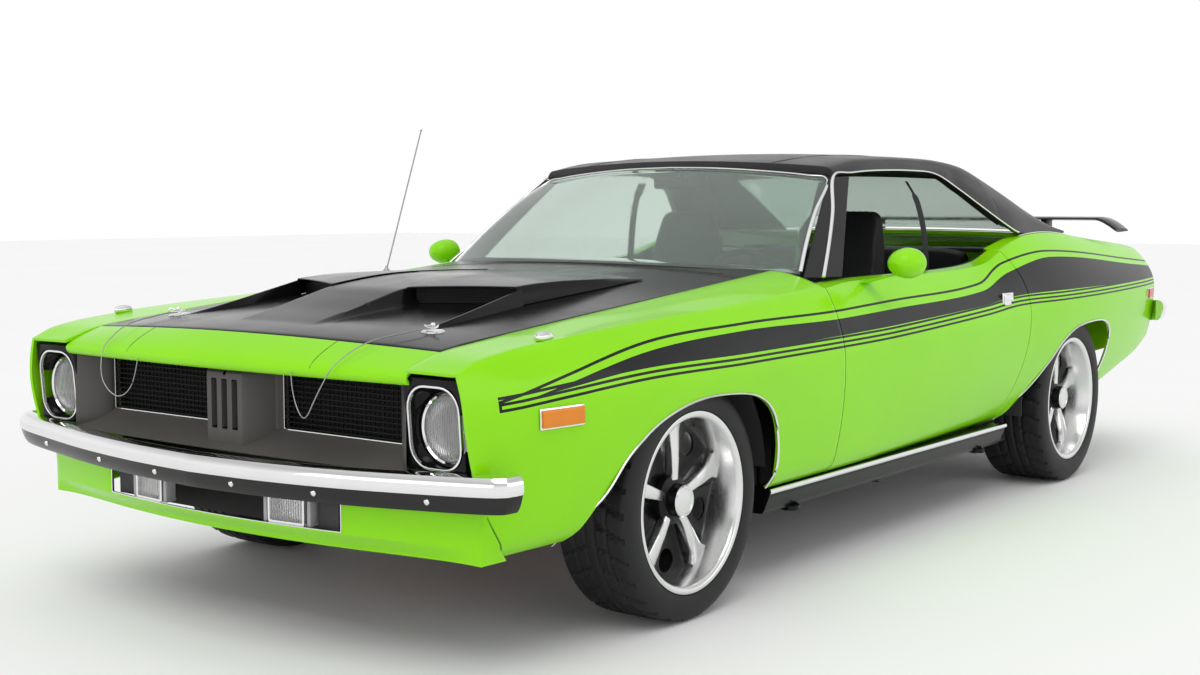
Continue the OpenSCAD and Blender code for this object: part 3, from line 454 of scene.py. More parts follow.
def block(name: str, low: Point, high: Point, edge: float = 2, steps: int = 3) -> Piece:
    """A box with rounded edges between two corners.

    Args:
        name: The piece's name.
        low: Its lowest corner, in millimetres.
        high: Its highest corner.
        edge: Radius of its edges.
        steps: Faces to the turn of an edge.

    Returns:
        The new object.
    """
    deselect()
    bpy.ops.mesh.primitive_cube_add(size=1)
    piece = bpy.context.object
    piece.name = name
    piece.data.name = name
    for vertex in piece.data.vertices:
        vertex.co = Vector(mix(a, b, c + 0.5) for a, b, c in zip(low, high, vertex.co)) * MM
    finish_modifier(piece, "BEVEL", width=edge * MM, segments=steps)
    smooth(piece, 50)
    return piece


def copy_of(piece: Piece, name: str, move: Matrix) -> Piece:
    """A copy with its own mesh, moved in its mesh.

    Args:
        piece: The piece to copy.
        name: The copy's name.
        move: What moves its points, in metres.

    Returns:
        The copy, its faces outwards after a mirror too.
    """
    other = piece.copy()
    other.data = piece.data.copy()
    other.name = name
    other.data.name = name
    bpy.context.collection.objects.link(other)
    other.data.transform(move)
    if move.determinant() < 0:
        other.data.flip_normals()
    return other


MIRROR = Matrix.Diagonal((-1, 1, 1, 1))


def other_side(piece: Piece, name: str) -> Piece:
    """The same piece on the car's other side."""
    return copy_of(piece, name, MIRROR)


def join(name: str, pieces: Sequence[Piece]) -> Piece:
    """Joins pieces into one.

    Args:
        name: The joined piece's name.
        pieces: What is joined.

    Returns:
        The joined object.
    """
    deselect()
    for piece in pieces:
        piece.select_set(True)
    bpy.context.view_layer.objects.active = pieces[0]
    if len(pieces) > 1:
        bpy.ops.object.join()
    whole = bpy.context.object
    whole.name = name
    whole.data.name = name
    return whole


# ---------- shader maths and finishes ----------


class Value:
    """A shader socket that takes part in Python arithmetic."""

    def __init__(self, shop: "Shop", socket: bpy.types.NodeSocket) -> None:
        """Keeps the socket and the material it belongs to."""
        self.shop = shop
        self.socket = socket

    def _math(self, operation: str, first: object, second: object = 0.0) -> "Value":
        """One Math node on two values."""
        return self.shop.node("ShaderNodeMath", {"operation": operation}, {0: first, 1: second})

    def __add__(self, other: object) -> "Value":
        """Sum."""
        return self._math("ADD", self, other)

    def __sub__(self, other: object) -> "Value":
        """Difference."""
        return self._math("SUBTRACT", self, other)

    def __rsub__(self, other: object) -> "Value":
        """Difference from a number."""
        return self._math("SUBTRACT", other, self)

    def __mul__(self, other: object) -> "Value":
        """Product."""
        return self._math("MULTIPLY", self, other)

    def __gt__(self, other: object) -> "Value":
        """1 where this is more than the other."""
        return self._math("GREATER_THAN", self, other)

    def __lt__(self, other: object) -> "Value":
        """1 where this is less than the other."""
        return self._math("LESS_THAN", self, other)

    def union(self, other: object) -> "Value":
        """The larger of the two."""
        return self._math("MAXIMUM", self, other)

    __radd__ = __add__
    __rmul__ = __mul__


class Shop:
    """A material in the making: its nodes, made from Python expressions."""

    def __init__(self, name: str) -> None:
        """Makes an empty material with one principled shader."""
        self.material = bpy.data.materials.new(name)
        self.material.use_nodes = True
        self.tree = self.material.node_tree
        self.shader = self.tree.nodes["Principled BSDF"]

    def _plug(self, socket: bpy.types.NodeSocket, value: object) -> None:
        """Links or sets one input."""
        if isinstance(value, Value):
            self.tree.links.new(value.socket, socket)
        else:
            socket.default_value = value

    def node(self, kind: str, settings: dict[str, object], inputs: dict[object, object],
             output: object = 0) -> Value:
        """Makes one node.

        Args:
            kind: The node's type.
            settings: Its settings, set first; "stops" fills a colour ramp.
            inputs: Values or links by socket name or number.
            output: Which output is returned.

        Returns:
            The chosen output.
        """
        made = self.tree.nodes.new(kind)
        for name, value in settings.items():
            if name == "stops":
                ramp = made.color_ramp
                while len(ramp.elements) < len(value):
                    ramp.elements.new(0.5)
                for element, (place, colour) in zip(ramp.elements, value):
                    element.position = place
                    element.color = colour
            else:
                setattr(made, name, value)
        for name, value in inputs.items():
            self._plug(made.inputs[name], value)
        return Value(self, made.outputs[output])

    def place(self) -> Value:
        """Object coordinates."""
        return self.node("ShaderNodeTexCoord", {}, {}, "Object")

    def axis(self, letter: str) -> Value:
        """One of the object coordinates, in metres."""
        return self.node("ShaderNodeSeparateXYZ", {}, {0: self.place()}, letter)

    def stretched(self, scale: Point) -> Value:
        """Object coordinates scaled along each axis."""
        return self.node("ShaderNodeMapping", {}, {"Vector": self.place(), "Scale": scale})

    def noise(self, scale: float, detail: float = 4, vector: Value | None = None) -> Value:
        """Noise of a scale in turns per metre."""
        return self.node("ShaderNodeTexNoise", {}, {"Vector": vector or self.place(), "Scale": scale,
                                                    "Detail": detail}, 0)

    def cells(self, scale: float, feature: str = "F1", vector: Value | None = None) -> Value:
        """Cells of a scale in turns per metre."""
        return self.node("ShaderNodeTexVoronoi", {"feature": feature},
                         {"Vector": vector or self.place(), "Scale": scale}, 0)

    def ramp(self, factor: Value, *stops: tuple[float, tuple[float, ...]]) -> Value:
        """Colours by a factor."""
        return self.node("ShaderNodeValToRGB", {"stops": stops}, {0: factor})

    def blend(self, factor: object, first: object, second: object) -> Value:
        """Colour a factor of the way from first to second."""
        return self.node("ShaderNodeMix", {"data_type": "RGBA"}, {0: factor, 6: first, 7: second}, 2)

    def span(self, value: Value, low: float, high: float, start: float, end: float) -> Value:
        """A value carried from one range to another."""
        return self.node("ShaderNodeMapRange", {}, {0: value, 1: low, 2: high, 3: start, 4: end})

    def bump(self, height: Value, strength: float, depth: float) -> Value:
        """Surface normal from a height; depth is in metres."""
        return self.node("ShaderNodeBump", {}, {"Strength": strength, "Distance": depth, "Height": height})

    def finish(self, **inputs: object) -> bpy.types.Material:
        """Sets the shader's inputs and returns the material.

        Args:
            inputs: Values or links; an underscore in a name stands for a space.

        Returns:
            The material.
        """
        for name, value in inputs.items():
            self._plug(self.shader.inputs[name.replace("_", " ")], value)
        return self.material


Colour = tuple[float, float, float, float]


def grey(level: float) -> Colour:
    """A plain grey."""
    return (level, level, level, 1.0)


@dataclass(frozen=True)
class Paint:
    """Clear-coated body paint, with the side stripe where a panel carries its lines."""

    colour: Colour = (0.27, 0.73, 0.004, 1)
    deep: Colour = (0.235, 0.66, 0.003, 1)
    stripe: Colour = (0.006, 0.0065, 0.008, 1)
    pin: float = 7.0
    pitch: float = 14.5

    def _stripe(self, shop: Shop) -> Value:
        """1 on the stripe's band and pin lines."""
        high = shop.node("ShaderNodeAttribute", {"attribute_name": "stripe_high"}, {}, "Vector")
        low = shop.node("ShaderNodeAttribute", {"attribute_name": "stripe_low"}, {}, "Vector")

        def part(value: Value, letter: str) -> Value:
            """One part of a vector."""
            return shop.node("ShaderNodeSeparateXYZ", {}, {0: value}, letter)

        above, band, side = (part(high, c) for c in "XYZ")
        under, pin, station = (part(low, c) for c in "XYZ")
        mask = (band < 0.0) * (under > 0.0)
        mask = mask.union((above < 0.0) * (above > -self.pin))
        for k in range(3):
            mask = mask.union((pin > k * self.pitch) * (pin < k * self.pitch + self.pin))
        nose = (station < f(-768)) * (pin > 0.0) * (above < 0.0)
        return mask.union(nose) * (station > f(-776)) * (side > 0.5)

    def make(self, name: str, striped: bool) -> bpy.types.Material:
        """Makes the paint's material.

        Args:
            name: The material's name.
            striped: True for panels that carry the stripe.

        Returns:
            The material.
        """
        shop = Shop(name)
        drift = shop.noise(3, 2)
        base = shop.blend(drift, self.deep, self.colour)
        flake = shop.noise(900, 2)
        rough = shop.span(flake, 0.3, 0.7, 0.2, 0.3)
        if striped:
            mask = self._stripe(shop)
            base = shop.blend(mask, base, self.stripe)
            rough = rough + mask * 0.16
        ripple = shop.noise(14, 1)
        return shop.finish(Base_Color=base, Roughness=rough, Coat_Weight=0.26, Coat_Roughness=0.04,
                           Specular_IOR_Level=0.12, Normal=shop.bump(ripple, 0.04, 0.001))


@dataclass(frozen=True)
class Metal:
    """Bare, polished or plated metal."""

    colour: Colour = grey(0.82)
    rough: float = 0.08
    spread: float = 0.05
    brushed: tuple[float, float, float] = (1, 1, 1)

    def make(self, name: str) -> bpy.types.Material:
        """Makes the metal's material."""
        shop = Shop(name)
        grain = shop.noise(260, 3, shop.stretched(self.brushed))
        smear = shop.noise(9, 3)
        tone = shop.blend(smear, self.colour, tuple(0.9 * c for c in self.colour[:3]) + (1.0,))
        rough = shop.span(grain, 0.35, 0.65, self.rough, self.rough + self.spread)
        return shop.finish(Base_Color=tone, Metallic=1.0, Roughness=rough,
                           Normal=shop.bump(grain, 0.03, 0.0003))


class Grain(Enum):
    """How the surface of a dark part is broken up."""

    SATIN = "satin"
    VINYL = "vinyl"
    RUBBER = "rubber"
    PLASTIC = "plastic"
    CARPET = "carpet"
    CAST = "cast"


@dataclass(frozen=True)
class Coated:
    """Paint, vinyl, rubber, plastic or carpet with its grain."""

    colour: Colour
    grain: Grain
    rough: float
    coat: float = 0.0
    shine: float = 0.3

    def make(self, name: str) -> bpy.types.Material:
        """Makes the coating's material."""
        shop = Shop(name)
        scale, depth, strength = {
            Grain.SATIN: (700, 0.0002, 0.08), Grain.VINYL: (420, 0.0006, 0.55),
            Grain.RUBBER: (500, 0.0003, 0.35), Grain.PLASTIC: (600, 0.0003, 0.25),
            Grain.CARPET: (900, 0.002, 0.8), Grain.CAST: (250, 0.0006, 0.4)}[self.grain]
        fine = shop.cells(scale, "DISTANCE_TO_EDGE" if self.grain == Grain.VINYL else "F1")
        wide = shop.noise(5, 3)
        dark = tuple(0.72 * c for c in self.colour[:3]) + (1.0,)
        tone = shop.blend(wide, dark, self.colour)
        rough = shop.span(wide, 0.3, 0.7, self.rough - 0.05, self.rough + 0.06)
        height = shop.span(fine, 0.0, 0.25, 0.0, 1.0) + wide * 0.3
        return shop.finish(Base_Color=tone, Roughness=rough, Coat_Weight=self.coat, Coat_Roughness=0.12,
                           Specular_IOR_Level=self.shine,
                           Normal=shop.bump(height, strength, depth))


@dataclass(frozen=True)
class Glass:
    """Clear or coloured glass and lenses."""

    colour: Colour
    rough: float = 0.02
    clear: float = 0.9
    flutes: float = 0.0

    def make(self, name: str) -> bpy.types.Material:
        """Makes the glass's material, whose clearness is in its transmission."""
        shop = Shop(name)
        film = shop.noise(30, 3)
        rough = shop.span(film, 0.4, 0.7, self.rough, self.rough + 0.03)
        tone = shop.blend(film, self.colour, tuple(0.94 * c for c in self.colour[:3]) + (1.0,))
        lines = shop.node("ShaderNodeTexWave", {}, {"Vector": shop.place(), "Scale": 42.0, "Distortion": 0.0},
                          1)
        return shop.finish(Base_Color=tone, Roughness=rough, Transmission_Weight=self.clear, IOR=1.45,
                           Normal=shop.bump(lines, self.flutes, 0.002))


@dataclass
class Finishes:
    """Every material of the car, made once."""

    made: dict[str, bpy.types.Material] = field(default_factory=dict)

    def build(self) -> None:
        """Makes all finishes."""
        self.made = {
            "paint": Paint().make("lime_paint", False),
            "striped": Paint().make("lime_paint_striped", True),
            "chrome": Metal(grey(0.86), 0.05, 0.04).make("chrome_plate"),
            "polish": Metal(grey(0.78), 0.16, 0.1).make("polished_alloy"),
            "steel": Metal(grey(0.42), 0.4, 0.2).make("bare_steel"),
            "satin": Coated((0.006, 0.006, 0.007, 1), Grain.SATIN, 0.2, 0.08, 0.14).make("satin_black_paint"),
            "argent": Coated((0.10, 0.092, 0.088, 1), Grain.SATIN, 0.42).make("argent_paint"),
            "black": Coated((0.014, 0.014, 0.015, 1), Grain.PLASTIC, 0.42).make("black_trim"),
            "vinyl": Coated((0.014, 0.014, 0.016, 1), Grain.VINYL, 0.36, 0.1, 0.45).make("grained_vinyl"),
            "hide": Coated((0.017, 0.017, 0.018, 1), Grain.VINYL, 0.48).make("seat_vinyl"),
            "rubber": Coated((0.013, 0.013, 0.014, 1), Grain.RUBBER, 0.55).make("tyre_rubber"),
            "carpet": Coated((0.02, 0.02, 0.021, 1), Grain.CARPET, 0.9).make("floor_carpet"),
            "cast": Coated((0.05, 0.05, 0.052, 1), Grain.CAST, 0.6).make("underbody_black"),
            "engine": Coated((0.5, 0.09, 0.02, 1), Grain.CAST, 0.5).make("engine_enamel"),
            "mesh": Coated((0.006, 0.006, 0.006, 1), Grain.PLASTIC, 0.6).make("black_mesh"),
            "belt": Coated((0.02, 0.02, 0.022, 1), Grain.CARPET, 0.7).make("belt_webbing"),
            "glass": Glass((0.60, 0.72, 0.65, 1)).make("tinted_glass"),
            "lens": Glass((0.97, 0.97, 0.97, 1), 0.03, 0.95).make("clear_lens"),
            "flutes": Glass((0.97, 0.97, 0.97, 1), 0.05, 0.85, 0.6).make("fluted_lens"),
            # painted dark reflection: near-black chrome that stands in for the dark ground reflected in the front
            # bumper's lower face
            "shade": Metal(grey(0.045), 0.16, 0.08).make("chrome_with_painted_dark_reflection"),
            "alloy": Coated((0.46, 0.46, 0.47, 1), Grain.SATIN, 0.4).make("grey_divider"),
            "amber": Glass((0.95, 0.30, 0.01, 1), 0.12, 0.35).make("amber_lens"),
            "red": Glass((0.75, 0.02, 0.015, 1), 0.12, 0.3).make("red_lens"),
        }

    def dress(self, piece: Piece, name: str) -> Piece:
        """Gives a piece one finish all over and returns it."""
        piece.data.materials.clear()
        piece.data.materials.append(self.made[name])
        return piece

    def part(self, piece: Piece, name: str, test: Callable[[Vector, Vector], bool]) -> None:
        """Gives some of a piece's faces a second finish.

        Args:
            piece: The piece.
            name: The finish.
            test: Says by a face's middle in millimetres and its normal whether it takes the finish.
        """
        piece.data.materials.append(self.made[name])
        index = len(piece.data.materials) - 1
        for face in piece.data.polygons:
            if test(face.center / MM, face.normal):
                face.material_index = index


FINISHES = Finishes()


def put(piece: Piece, finish: str, body: str = "root", slot: str = "", *nodes: str) -> Piece:
    """Dresses a piece, sets it on a body and hides the CAD nodes that it replaces.

    Args:
        piece: The piece.
        finish: Its finish, or "" where it is dressed already.
        body: The body it rides on.
        slot: Not used.
        nodes: CAD nodes that it replaces.

    Returns:
        The piece.
    """
    if finish:
        FINISHES.dress(piece, finish)
    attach(piece, body)
    if nodes:
        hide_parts(*nodes)
    LOG.info("%s: %d faces on %s", piece.name, len(piece.data.polygons), body)
    return piece


def pair(left: Piece, finish: str, body: str = "root", slot: str = "", *nodes: str) -> Piece:
    """Puts a left piece and its mirrored twin.

    Args:
        left: The left piece, whose name says so.
        finish: Their finish, or "" where the left one is dressed already.
        body: The body the left one rides on.
        slot: Passed to put, which does not use it.
        nodes: CAD nodes that the left one replaces.

    Returns:
        The right piece.
    """
    put(left, finish, body, slot, *nodes)
    right = other_side(left, left.name.replace("left", "right"))
    return put(right, finish, body.replace("left", "right"), slot)


# ---------- bodywork ----------

FRONT_ARCH = ((-520, 285), (-425, 395), (-335, 497), (-215, 570), (-60, 608), (110, 609), (245, 590),
              (335, 541), (385, 455), (406, 360), (412, 300))
REAR_ARCH = ((-560, 300), (-420, 404), (-285, 500), (-175, 585), (-40, 632), (130, 645), (275, 637),
             (352, 600), (388, 540), (402, 460), (408, 345))


def resampled(points: Sequence[Sequence[float]], count: int) -> list[list[float]]:
    """Points spaced evenly along a smooth path.

    Args:
        points: The path's own points.
        count: Number of gaps wanted.

    Returns:
        count + 1 points.
    """
    fine = [along(points, i / (count * 6)) for i in range(count * 6 + 1)]
    runs = [0.0]
    for a, b in zip(fine, fine[1:]):
        runs.append(runs[-1] + math.dist(a, b))
    out, j = [], 0
    for i in range(count + 1):
        want = runs[-1] * i / count
        while j < len(runs) - 2 and runs[j + 1] < want:
            j += 1
        t = (want - runs[j]) / max(1e-9, runs[j + 1] - runs[j])
        out.append([mix(a, b, t) for a, b in zip(fine[j], fine[j + 1])])
    return out


@dataclass
class SidePanels:
    """Fenders, doors and quarter panels."""

    skin: float = 8.0
    rows: int = 110
    side_cols: int = 22
    top_cols: int = 10

    def _split(self, v: float) -> tuple[float, float]:
        """Shares of the side and of the top at a share v of a panel's height."""
        turn_at = self.side_cols / (self.side_cols + self.top_cols)
        return min(1.0, v / turn_at), max(0.0, (v - turn_at) / (1 - turn_at))

    def fender(self) -> None:
        """Makes both front fenders."""
        low = [(f(y), z) for y, z in ((-868, 690), (-862, 600), (-835, 490), (-789, 401), (-704, 287))]
        low = resampled(low, 24) + resampled([(f(y), z) for y, z in FRONT_ARCH], 64)[1:]
        low += resampled([(f(412), 300), (BODY.door_front - SEAM, 300)], 22)[1:]
        start, end = f(-868), BODY.door_front - SEAM

        def place(u: float, v: float) -> Point:
            """Point of the panel."""
            y0, z0 = low[round(u * (len(low) - 1))]
            yt = mix(start, end, (y0 - start) / (end - start))
            side, top = self._split(v)
            if not top:
                y, z = mix(y0, yt, side), mix(z0, curve(BODY.crest_z, yt), side)
                return BODY.side_x(y, z), y, z
            x = mix(curve(BODY.crest_x, yt), BODY.hood_x + SEAM / 2, top)
            return x, yt, BODY.front_z(x, yt)

        left = panel_of("front_fender_left", len(low) - 1, self.side_cols + self.top_cols, place, self.skin)
        right = other_side(left, "front_fender_right")
        for piece in (left, right):
            StripeLines().apply(piece)
            put(piece, "striped", "root", "lime_paint")
        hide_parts("front_fenders")

    def door(self) -> None:
        """Makes both doors, each one closed shell with a trimmed inside."""
        outer, belt, inside = 26, 5, 8

        def ring(u: float) -> list[Point]:
            """One ring of the sweep."""
            crest = curve(BODY.crest_z, mix(BODY.door_front, BODY.door_rear, u))
            back = 45 * max(0.0, (u - 0.9) / 0.1)
            points = []
            for k in range(outer + 1):
                z = mix(BODY.sill_top, crest, k / outer)
                y = mix(BODY.door_front, BODY.door_seam_y(z), u)
                points.append((BODY.side_x(y, z), y, z))
            x, y, z = points[-1]
            for k in range(1, belt + 1):
                rise = 4 * math.sin(math.pi / 2 * k / belt)
                points.append((mix(x, BODY.door_inner + 6, k / belt), y, z + rise))
            for k in range(inside + 1):
                zz = mix(z - 12, BODY.sill_top, k / inside)
                bulge = 14 * math.sin(math.pi * clamp((zz - 420) / 260)) if 420 < zz < 680 else 0
                yy = mix(BODY.door_front, BODY.door_seam_y(zz), u) - back
                points.append((BODY.door_inner + 10 - bulge * 0.6, yy, zz))
            return points

        left = sweep("door_left_shell", 46, ring, angle=40)
        right = other_side(left, "door_right_shell")
        for side, piece in ((1, left), (-1, right)):
            StripeLines().apply(piece)
            body = "door_left" if side > 0 else "door_right"
            put(piece, "striped", body, "lime_paint", body)
            FINISHES.part(piece, "black", lambda c, n: abs(c.x) < BODY.door_inner + 22)

    def quarter(self) -> None:
        """Makes both quarter panels and the filler ahead of the deck lid."""
        low = [(BODY.door_seam_y(300) + SEAM, 300.0)]
        low = resampled([low[0], (r(-560), 300)], 6) + resampled([(r(y), z) for y, z in REAR_ARCH], 64)[1:]
        low += resampled([(r(408), 345), (r(500), 360), (r(720), 415), (r(930), 460), (BODY.tail, 520)],
                         30)[1:]
        start = low[0][0]

        def lean(v: float) -> float:
            """How far the seam leans at a share of its height."""
            z = mix(BODY.sill_top, curve(BODY.crest_z, BODY.door_rear), v)
            return BODY.door_seam_y(z) - mix(BODY.door_seam_y(BODY.sill_top), BODY.door_rear, v)

        def place(u: float, v: float) -> Point:
            """Point of the panel."""
            y0, z0 = low[round(u * (len(low) - 1))]
            share = clamp((y0 - start) / (BODY.tail - start))
            yt = mix(BODY.door_rear + SEAM, BODY.tail, share)
            side, top = self._split(v)
            if not top:
                z = mix(z0, curve(BODY.crest_z, yt), side)
                y = mix(y0, yt, side) + lean(side) * max(0.0, 1 - 4 * share) ** 2
                return BODY.side_x(y, z), y, z
            x = mix(curve(BODY.crest_x, yt), BODY.quarter_inner(yt), top)
            return x, yt, BODY.rear_z(x, yt)

        left = panel_of("quarter_panel_left", len(low) - 1, self.side_cols + self.top_cols, place, self.skin)
        right = other_side(left, "quarter_panel_right")
        for piece in (left, right):
            StripeLines().apply(piece)
            put(piece, "striped", "root", "lime_paint")
        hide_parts("quarter_panels")

        def closing(u: float, v: float) -> Point:
            """Point of the strip that closes the rear end."""
            x, _, z = place(1.0, mix(0.1, 1.0, v))
            reach = mix(5, 62, u)
            way = Vector((430 - x, 0, 690 - z)).normalized() * reach
            return x + way.x, BODY.tail - 2.5, z + way.z

        end = panel_of("quarter_end_left", 4, 40, closing, 4, 1, False)
        pair(end, "paint", "root", "lime_paint")

        def filler(u: float, v: float) -> Point:
            """Point of the filler."""
            y = mix(r(215), r(284), u)
            x = mix(1, -1, v) * (BODY.quarter_inner(y) - 0.5)
            return x, y, BODY.rear_z(x, y)

        put(panel_of("deck_filler", 3, 40, filler, 8), "paint", "root", "lime_paint")

    def build(self) -> None:
        """Makes all side panels."""
        self.fender()
        self.door()
        self.quarter()


@dataclass
class Lids:
    """Hood with its scoops, cowl, header panel and deck lid."""

    thick: float = 18.0
    dome: float = 150.0
    tail: float = f(352)
    lift: Knots = tuple(front_knots((-675, 0), (-560, 14), (-430, 34), (-330, 46), (-100, 45), (150, 24),
                                    (352, 3), (480, 0)))

    def _hood(self) -> Piece:
        """The hood's skin, with the raised middle between its scoops."""
        half = BODY.hood_x - SEAM / 2

        def place(u: float, v: float) -> Point:
            """Point of the panel."""
            x = mix(half, -half, v)
            y = mix(BODY.hood_front(x), f(580), u)
            return x, y, BODY.front_z(x, y) + curve(self.lift, y) * clamp((self.dome + 7 - abs(x)) / 14)

        return panel_of("hood_skin", 80, 120, place, self.thick, 2.0)

    def _mouth_y(self, x: float) -> float:
        """Station of a scoop's mouth, which leans back outwards."""
        return mix(f(-330), f(-200), clamp((x - self.dome) / 290))

    def _scoop(self) -> list[Piece]:
        """The left scoop: its roof with a cheek, and the mesh in its mouth."""

        def top(u: float, v: float) -> Point:
            """Point of the roof."""
            x = mix(self.dome - 2, mix(446, 464, u), v)
            y = mix(self._mouth_y(x), self.tail, u)
            return x, y, BODY.front_z(x, y) + 0.6 + curve(self.lift, y) * clamp((1 - v) / 0.045) ** 0.7

        shell = panel_of("scoop_roof", 40, 44, top, 3.5, 1.0)

        def ridge(u: float) -> list[Point]:
            """Section of the cheek."""
            x, y = mix(464, 443, u), mix(f(-606), f(-190), u)
            base, high = BODY.front_z(x, y), 45 * u**1.1
            return [(x + 9, y, base - 2), (x + 3, y, base + high), (x - 2, y, base + high),
                    (x - 9, y, base - 2)]

        cheek = sweep("scoop_cheek", 24, ridge)

        def mesh(u: float, v: float) -> Point:
            """Point of the mesh."""
            x = mix(self.dome + 2, 438, v)
            y = self._mouth_y(x) + 34
            return x, y, BODY.front_z(x, y) + mix(0, curve(self.lift, y) - 5, u)

        parts = [panel_of("scoop_mesh", 4, 20, mesh, 2, 0, False)]
        for height in (7, 14, 21, 28, 35):
            line = [(x, self._mouth_y(x) + 30, BODY.front_z(x, self._mouth_y(x)) + height)
                    for x in (156, 300, 436)]
            parts.append(tube("scoop_bar", line, 1.2, 6, 6))
        whole = join("scoop_shell_left", [shell, cheek])
        FINISHES.dress(whole, "satin")
        return [whole, FINISHES.dress(join("scoop_grille_left", parts), "mesh")]

    def build(self) -> None:
        """Makes the hood, its scoops and the panels round it."""
        put(self._hood(), "satin", "hood", "satin_black", "hood")
        for piece in self._scoop():
            pair(piece, "", "hood", "satin_black")
        edge = BODY.hood_x + SEAM / 2 - 0.5

        def cowl(u: float, v: float) -> Point:
            """Point of the cowl."""
            x = mix(edge, -edge, v)
            y = mix(f(585), BODY.glass_base(x) - 2, u)
            return x, y, BODY.front_z(x, y)

        panel = panel_of("cowl_panel_skin", 12, 72, cowl, 8, 1.0)
        put(panel, "satin", "root", "satin_black", "cowl_panel")
        slots = []
        for k in range(26):
            x = 120 + 18 * k
            y = f(596) + 10
            z = BODY.front_z(x, y)
            slots.append(block("slot", (x, y, z - 1), (x + 9, y + 20, z + 0.8), 0.5))
        vents = join("cowl_vents_left", slots)
        pair(vents, "mesh", "root", "satin_black")

        def header(u: float, v: float) -> Point:
            """Point of the header panel."""
            x = mix(edge, -edge, v)
            back = BODY.hood_front(x) - SEAM
            front = f(-868) - 30 * (1 - (x / BODY.hood_x) ** 2)
            if u < 0.12:
                return x, front + 10 * (1 - u / 0.12) ** 2, mix(704, 722, u / 0.12)
            t = (u - 0.12) / 0.88
            rise = t**0.62
            return x, mix(front, back, t), mix(722, BODY.front_z(x, back), rise)

        put(panel_of("header_skin", 24, 80, header, 7, 1.2), "paint", "root", "lime_paint", "header_panel")
        for s, side in ((1, "left"), (-1, "right")):
            seam = tube(f"header_seam_{side}", [header(t, 0.5 - s * 0.27) for t in (0.14, 0.3, 0.6, 0.98)],
                        0.9, 6)
            put(seam, "black", "root", "lime_paint")

        def deck(u: float, v: float) -> Point:
            """Point of the deck lid."""
            x = mix(1, -1, v) * (BODY.deck_x - SEAM / 2)
            y = mix(r(290), r(1110), u)
            return x, y, BODY.rear_z(x, y) - 6 * max(0.0, (u - 0.9) / 0.1) ** 2

        put(panel_of("deck_lid_skin", 40, 60, deck, 18, 2.5), "paint", "deck_lid", "lime_paint", "deck_lid")

        def lip(u: float, v: float) -> Point:
            """Point of the lid's rear lip."""
            x = mix(1, -1, v) * (BODY.deck_x - SEAM / 2 - 1)
            return x, r(1108) + 3 * math.sin(math.pi * u), mix(BODY.rear_z(x, r(1108)) - 9, 903, u)

        put(panel_of("deck_lid_lip", 6, 60, lip, 8, 1.5), "paint", "deck_lid", "lime_paint")


